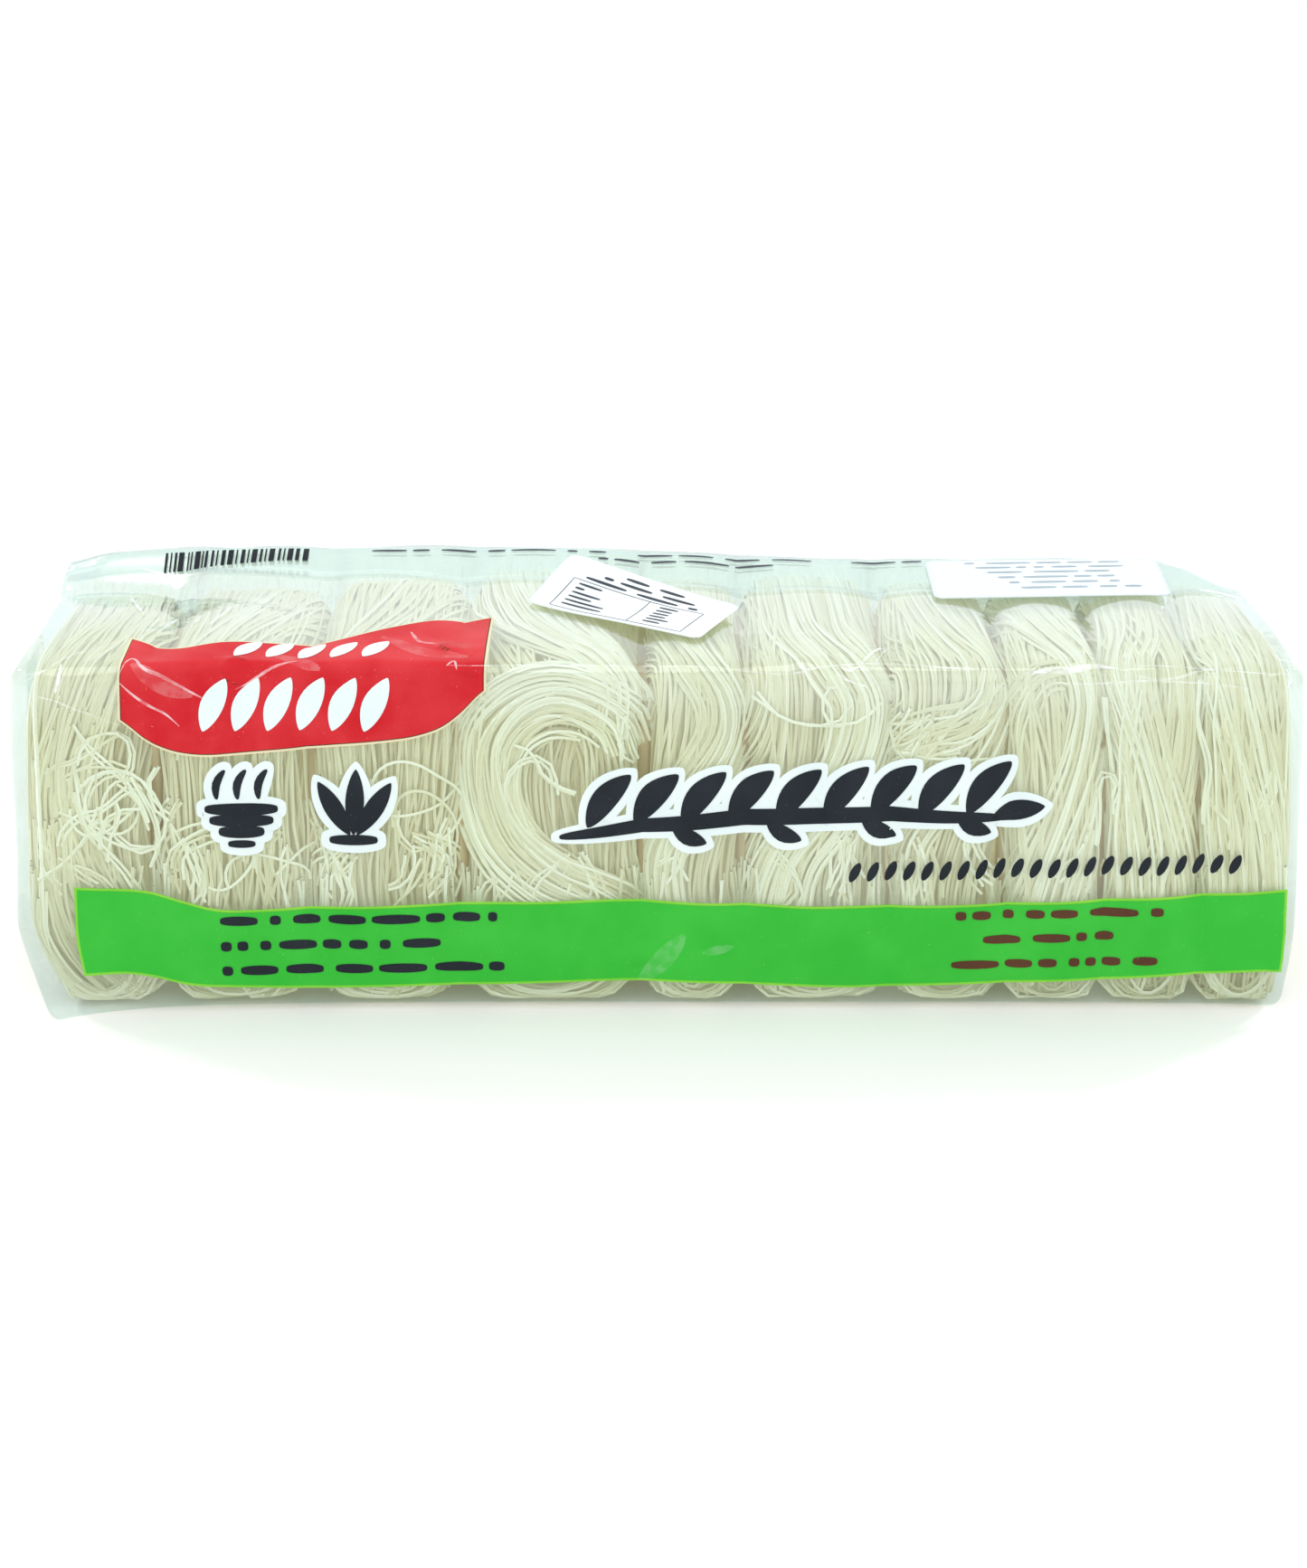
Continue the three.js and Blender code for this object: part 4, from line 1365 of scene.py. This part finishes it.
def seal(side):
    """A crimped sheet on one end, which rises out of the film and is bedded a little into it."""
    y = np.linspace(-SEAL_WIDTH / 2, SEAL_WIDTH / 2, 49)
    z = np.linspace(HEIGHT / 2 - SEAL_HEIGHT / 2, HEIGHT / 2 + SEAL_HEIGHT / 2, 22)[:, None]
    film_x = LENGTH / 2 * (1 + FOOT_FLARE * (1 - z / HEIGHT)) + end_push(np.array(side), 0.0, z)
    crimp = SEAL_CRIMP * np.sin(2 * np.pi * y / SEAL_PITCH)
    ridge = SEAL_RISE + crimp + SEAL_WAVE * np.sin(z / 7)
    outer = np.stack([side * (film_x + ridge), y + 0 * z + ORIGIN_SHIFT, z + 0 * y], -1)
    inner = np.stack([side * (film_x + 0 * y - SEAL_BED), y + 0 * z + ORIGIN_SHIFT, z + 0 * y], -1)
    return slab(outer, inner, side)


for side, name in ((-1, "left"), (1, "right")):
    let_light_in(make_piece(f"seal_{name}", *seal(side), milky_film))

# %% [markdown]
# ## Sharp creases
# Where film is pinched, its fold is so tight that it catches a lamp from any side. Such
# a crease shows as a slim white line that runs out at both ends. Each such glint is
# painted here: a flat strip just outside the film with extra shine, laid where the glint
# falls. Tight creases near the corners shine fully, long slack ones faintly and broad
# flat facets, a painted sheen, hardly at all.

# %% Lay the painted glints of the sharp creases
TIGHT_GLINTS = [  # guide points as x and s, and the width of the shine
    ([(-160, 158), (-157, 150), (-153, 142)], 0.9), ([(-166, 156), (-162, 156), (-156, 151)], 0.6),
    ([(-161, 164), (-160, 158), (-158, 152)], 0.6), ([(-146, 134), (-144, 137), (-143, 140)], 1.8),
    ([(-139, 132), (-137, 135), (-135, 140)], 0.9), ([(-132, 132), (-130, 138), (-127, 148)], 1.1),
    ([(-170, 106), (-170, 103), (-171, 99)], 1.0),
    ([(104, 102.9), (109, 103.5), (118, 103.7), (126, 104.5), (131, 104.3)], 1.3),
    ([(178, 115), (179, 110), (183, 108)], 0.5), ([(178, 115), (181, 115), (184, 113)], 0.4),
    ([(179, 105), (180, 103), (179, 101)], 0.8), ([(133, 154), (147, 155), (160, 160)], 0.6),
    ([(50, 104.3), (53, 102), (60, 99.5)], 0.6), ([(58, 105), (64, 113), (67, 117)], 0.8),
    ([(67, 117), (65, 111), (62, 105)], 0.4), ([(51, 105), (55, 103.7), (58, 105)], 0.4),
]
SLACK_GLINTS = [  # the same
    ([(-180, 102), (-172, 106), (-168, 112), (-161, 116), (-158, 120)], 0.7),
    ([(-179, 99), (-175, 98), (-166, 94), (-152, 88)], 0.5),
    ([(-153, 103), (-150, 109), (-147, 105), (-140, 102), (-135, 99.5), (-127, 95)], 0.9),
    ([(-153, 101), (-149, 97), (-145, 94), (-140, 91.5), (-136, 88)], 0.8),
    ([(-120, 99), (-114, 102), (-109, 104.5), (-102, 107)], 0.7),
    ([(131, 104.3), (139, 102), (147, 102), (155, 104), (166, 105)], 0.5),
    ([(105, 101.6), (127, 100.5), (139, 101.3), (152, 101), (171, 100)], 0.5),
    ([(22, 103.6), (38, 103), (52, 105), (92, 104)], 0.5),
    ([(-60, 105.2), (-20, 105), (18, 104.6)], 0.3), ([(134, 105), (158, 104.4), (182, 103.4)], 0.4),
    ([(-72, 126), (-68, 119), (-64, 118)], 1.2), ([(-60, 105), (-58, 107), (-57, 104)], 0.8),
    ([(-178, 98), (-177.5, 80), (-177.5, 61), (-178, 45)], 0.5),
    ([(-160, 172), (-150, 169), (-138, 168)], 0.8), ([(-96, 190), (-70, 198), (-52, 214)], 0.8),
    ([(60, 196), (84, 204), (98, 222)], 0.8), ([(-70, 198), (-80, 222), (-76, 240)], 0.6),
]
FACET_SHEENS = [  # the same
    ([(-5, 9), (0, 14), (8, 24)], 6), ([(13, 18), (22, 20)], 3),
    ([(-150, 106), (-139, 99), (-132, 97)], 5), ([(-110, 110), (-96, 104)], 4),
    ([(-80, 122), (-66, 112), (-54, 110)], 5), ([(16, 130), (48, 124), (80, 122)], 4),
    ([(96, 112), (124, 108), (150, 112)], 3), ([(150, 140), (168, 124), (178, 112)], 5),
    ([(-178, 120), (-164, 138), (-158, 156)], 5), ([(100, 146), (136, 140), (160, 144)], 4),
]


# a painted glint: a strip of clear film with extra shine mixed in
def glint_finish(name, shine):
    crease = Finish(name)
    gleam = crease.principled(Base_Color=(0.97, 0.99, 1.0, 1.0), Metallic=0.6, Roughness=0.12)
    clear = crease.node("ShaderNodeBsdfTransparent", {}, {"Color": (1.0, 1.0, 1.0, 1.0)})
    broken = crease.noise(260, 2).above(0.35, 0.65) * shine + 0.4 * shine
    return crease.show(crease.node("ShaderNodeMixShader", {}, {0: broken, 1: clear, 2: gleam}))


# painted glints of tight and slack creases, and painted sheen on flat facets
for name, strokes, shine in (
        ("tight_creases", TIGHT_GLINTS, 0.68), ("slack_creases", SLACK_GLINTS, 0.36),
        ("film_facets", FACET_SHEENS, 0.07)):
    folds = Print(-0.5)
    for guides, width in strokes:
        folds.stroke(guides, width)
    let_light_in(folds.done(name, glint_finish(name, shine)))

# %% [markdown]
# ## The paper labels
# Two paper labels lie on the top. One is turned askew, and the other lies along the
# rear strip. They are thin sheets with rounded corners, bent over what lies below, with
# rows of grey dashes in place of small print.

# %% Build the labels
PAPER_LIFT, PAPER_THICK, PAPER_CORNER = 1.05, 0.2, 2.2  # mm
LABELS = {  # width, depth, X, Y and turn in degrees
    "label_centre": (58, 28, -7, 8, -28), "label_rear": (72, 24, 119, 25, 2)}


def label_bed(x, y):
    """A label lies on the crowns of the nests below the film."""
    across = (y - FRONT_TOP) / HALF_DEPTH - 1
    return panel_height(x, across, 1.0) + ridge(x, across)


def on_label(name, u, v, lift):
    """Where u and v, in mm from a label's middle, lead to."""
    x, y, turn = LABELS[name][2:]
    angle = math.radians(turn)
    across = u * math.cos(angle) - v * math.sin(angle) + x
    along = u * math.sin(angle) + v * math.cos(angle) + y
    return np.stack([across, along + ORIGIN_SHIFT, label_bed(across, along) + lift], -1)


def label_sheet(name):
    """Points and faces of a sheet with rounded corners."""
    width, depth = LABELS[name][:2]
    v = np.linspace(-depth / 2, depth / 2, 25)
    past = np.clip(np.abs(v) - (depth / 2 - PAPER_CORNER), 0, PAPER_CORNER)
    half = width / 2 - PAPER_CORNER + np.sqrt(PAPER_CORNER**2 - past**2)
    u = half[:, None] * np.linspace(-1, 1, 41)
    v = np.broadcast_to(v[:, None], u.shape)
    top = on_label(name, u, v, PAPER_LIFT)
    under = on_label(name, u, v, PAPER_LIFT - PAPER_THICK)
    return slab(top, under)


def paper_finish(name, tone, tint):
    paper = Finish(name)
    fibres = paper.noise(900, 3)
    base, relief = paper.mix(fibres.above(0.3, 0.7), tone, tint), paper.bump(fibres, 0.03)
    return paper.show(paper.principled(Base_Color=base, Roughness=0.55, Normal=relief))


papers = {
    "label_centre": paper_finish("white_paper", colour(230, 237, 241), colour(238, 244, 247)),
    "label_rear": paper_finish("pale_paper", colour(222, 233, 240), colour(230, 239, 244)),
}
grey_ink = ink("grey_ink", colour(62, 68, 76), colour(74, 80, 86), colour(150, 156, 160))
pale_ink = ink("pale_grey_ink", colour(160, 172, 182), colour(172, 184, 192), colour(215, 222, 228))
for name, paper in papers.items():
    make_piece(f"{name}_paper", *label_sheet(name), paper, "paper", name)

# %% Print on the labels
rng = np.random.default_rng(9)
LABEL_PRINT = PAPER_LIFT + 0.06
centre = Print(LABEL_PRINT, lambda u, v, lift: on_label("label_centre", u, v, lift))
rear = Print(LABEL_PRINT, lambda u, v, lift: on_label("label_rear", u, v, lift))
for v, left, right in ((10.4, -8, 12), (7.6, -14, 17), (5.0, -19, 19)):
    bars(centre, rng, left, right, v, 1.3)
for row in range(6):
    v = 1.4 - 2.2 * row
    bars(centre, rng, -19.5, -19.5 + rng.uniform(8, 14), v, 1.0)
    bars(centre, rng, 8, 8 + rng.uniform(4, 9), v, 1.0)
for start, end in (
        ((-22, 3.2), (22, 3.2)), ((-22, -12.2), (22, -12.2)), ((-22, -12.2), (-22, 3.2)),
        ((22, -12.2), (22, 3.2)), ((4, -12.2), (4, 3.2))):
    centre.grain(start, end, 0.28, 0.1)
for row in range(6):
    v = 9.5 - 3.2 * row
    bars(rear, rng, -24 + 3 * row, 28 - rng.uniform(0, 8), v, 1.1)
centre.done("label_centre_print", grey_ink, "paper", "label_centre")
rear.done("label_rear_print", pale_ink, "paper", "label_rear")

# %% Print on the rear strip
STRIP_PRINT = -STRIP_LIFT - STRIP_THICK - 0.15
BARS_FROM, BARS_TO = -152.0, -108  # mm along the row
BAR_S = np.linspace(169.5, 175.5, 5)[:, None] + np.zeros((1, 2))  # up both sides of a bar
strip_bars = Print(STRIP_PRINT)
x = BARS_FROM
while x < BARS_TO:
    size = rng.choice([0.5, 0.8, 1.2, 1.7])
    strip_bars.patch(np.array([[x, x + size]] * len(BAR_S)), BAR_S)
    x += size + rng.choice([0.5, 0.8, 1.1])
strip_bars.done("strip_bars", black_ink)
strip_dashes = Print(STRIP_PRINT)
for s, left, right in ((173.5, -88, -14), (173.5, -6, 48), (169.5, -18, 36), (173.5, 60, 82)):
    bars(strip_dashes, rng, left, right, s, 1.3)
strip_dashes.done("strip_dashes", grey_ink)

# %% [markdown]
# ## The floor and the light
# A product picture like this is lit from all round, so the world is plain white and
# the floor pale. A large lamp above models the nests softly. Two small bright lamps
# add real glints besides the painted ones; these show only where a crease happens to face them.

# %% Lay the floor
FLOOR_HALF, FLOOR_DROP = 12.0, 0.0004  # m, half a side of the floor, and how far under the pack it is

floor_mesh = bpy.data.meshes.new("floor")
corners = [(x * FLOOR_HALF, y * FLOOR_HALF, 0) for x, y in ((-1, -1), (1, -1), (1, 1), (-1, 1))]
floor_mesh.from_pydata(corners, [], [(0, 1, 2, 3)])
floor = bpy.data.objects.new("floor", floor_mesh)
floor.location.z = -FLOOR_DROP
bpy.context.collection.objects.link(floor)
ground = Finish("plain_floor")
ground.show(ground.principled(Base_Color=(0.985, 0.985, 0.985, 1), Roughness=0.9))
floor_mesh.materials.append(ground.material)

# %% Set the lights
AIM = (0, 0, 0.05)  # m, what every lamp points at


def lamp(name, place, size, power):
    data = bpy.data.lights.new(name, "AREA")
    data.shape, data.size, data.size_y, data.energy = "RECTANGLE", *size, power
    light = bpy.data.objects.new(name, data)
    light.location = place
    way = np.array(AIM) - np.array(place)
    tilt = math.atan2(math.hypot(way[0], way[1]), -way[2])
    light.rotation_euler = (tilt, 0, math.atan2(-way[0], way[1]))
    bpy.context.collection.objects.link(light)


world = bpy.data.worlds.new("studio")
world.use_nodes = True
world.node_tree.nodes["Background"].inputs["Color"].default_value = (0.97, 0.99, 1.0, 1)
world.node_tree.nodes["Background"].inputs["Strength"].default_value = 1.05
bpy.context.scene.world = world
bpy.context.scene.view_settings.view_transform = "Standard"
lamp("overhead", (-0.3, -0.3, 1.6), (1.4, 1.0), 3.0)
lamp("front_fill", (0.2, -1.7, 0.75), (1.8, 1.1), 0.6)
lamp("glint_left", (-0.9, 0.5, 0.9), (0.1, 0.25), 2.5)
lamp("glint_right", (0.8, 0.6, 0.8), (0.1, 0.25), 2.5)
print("one soft lamp overhead, one in front and two for glints")
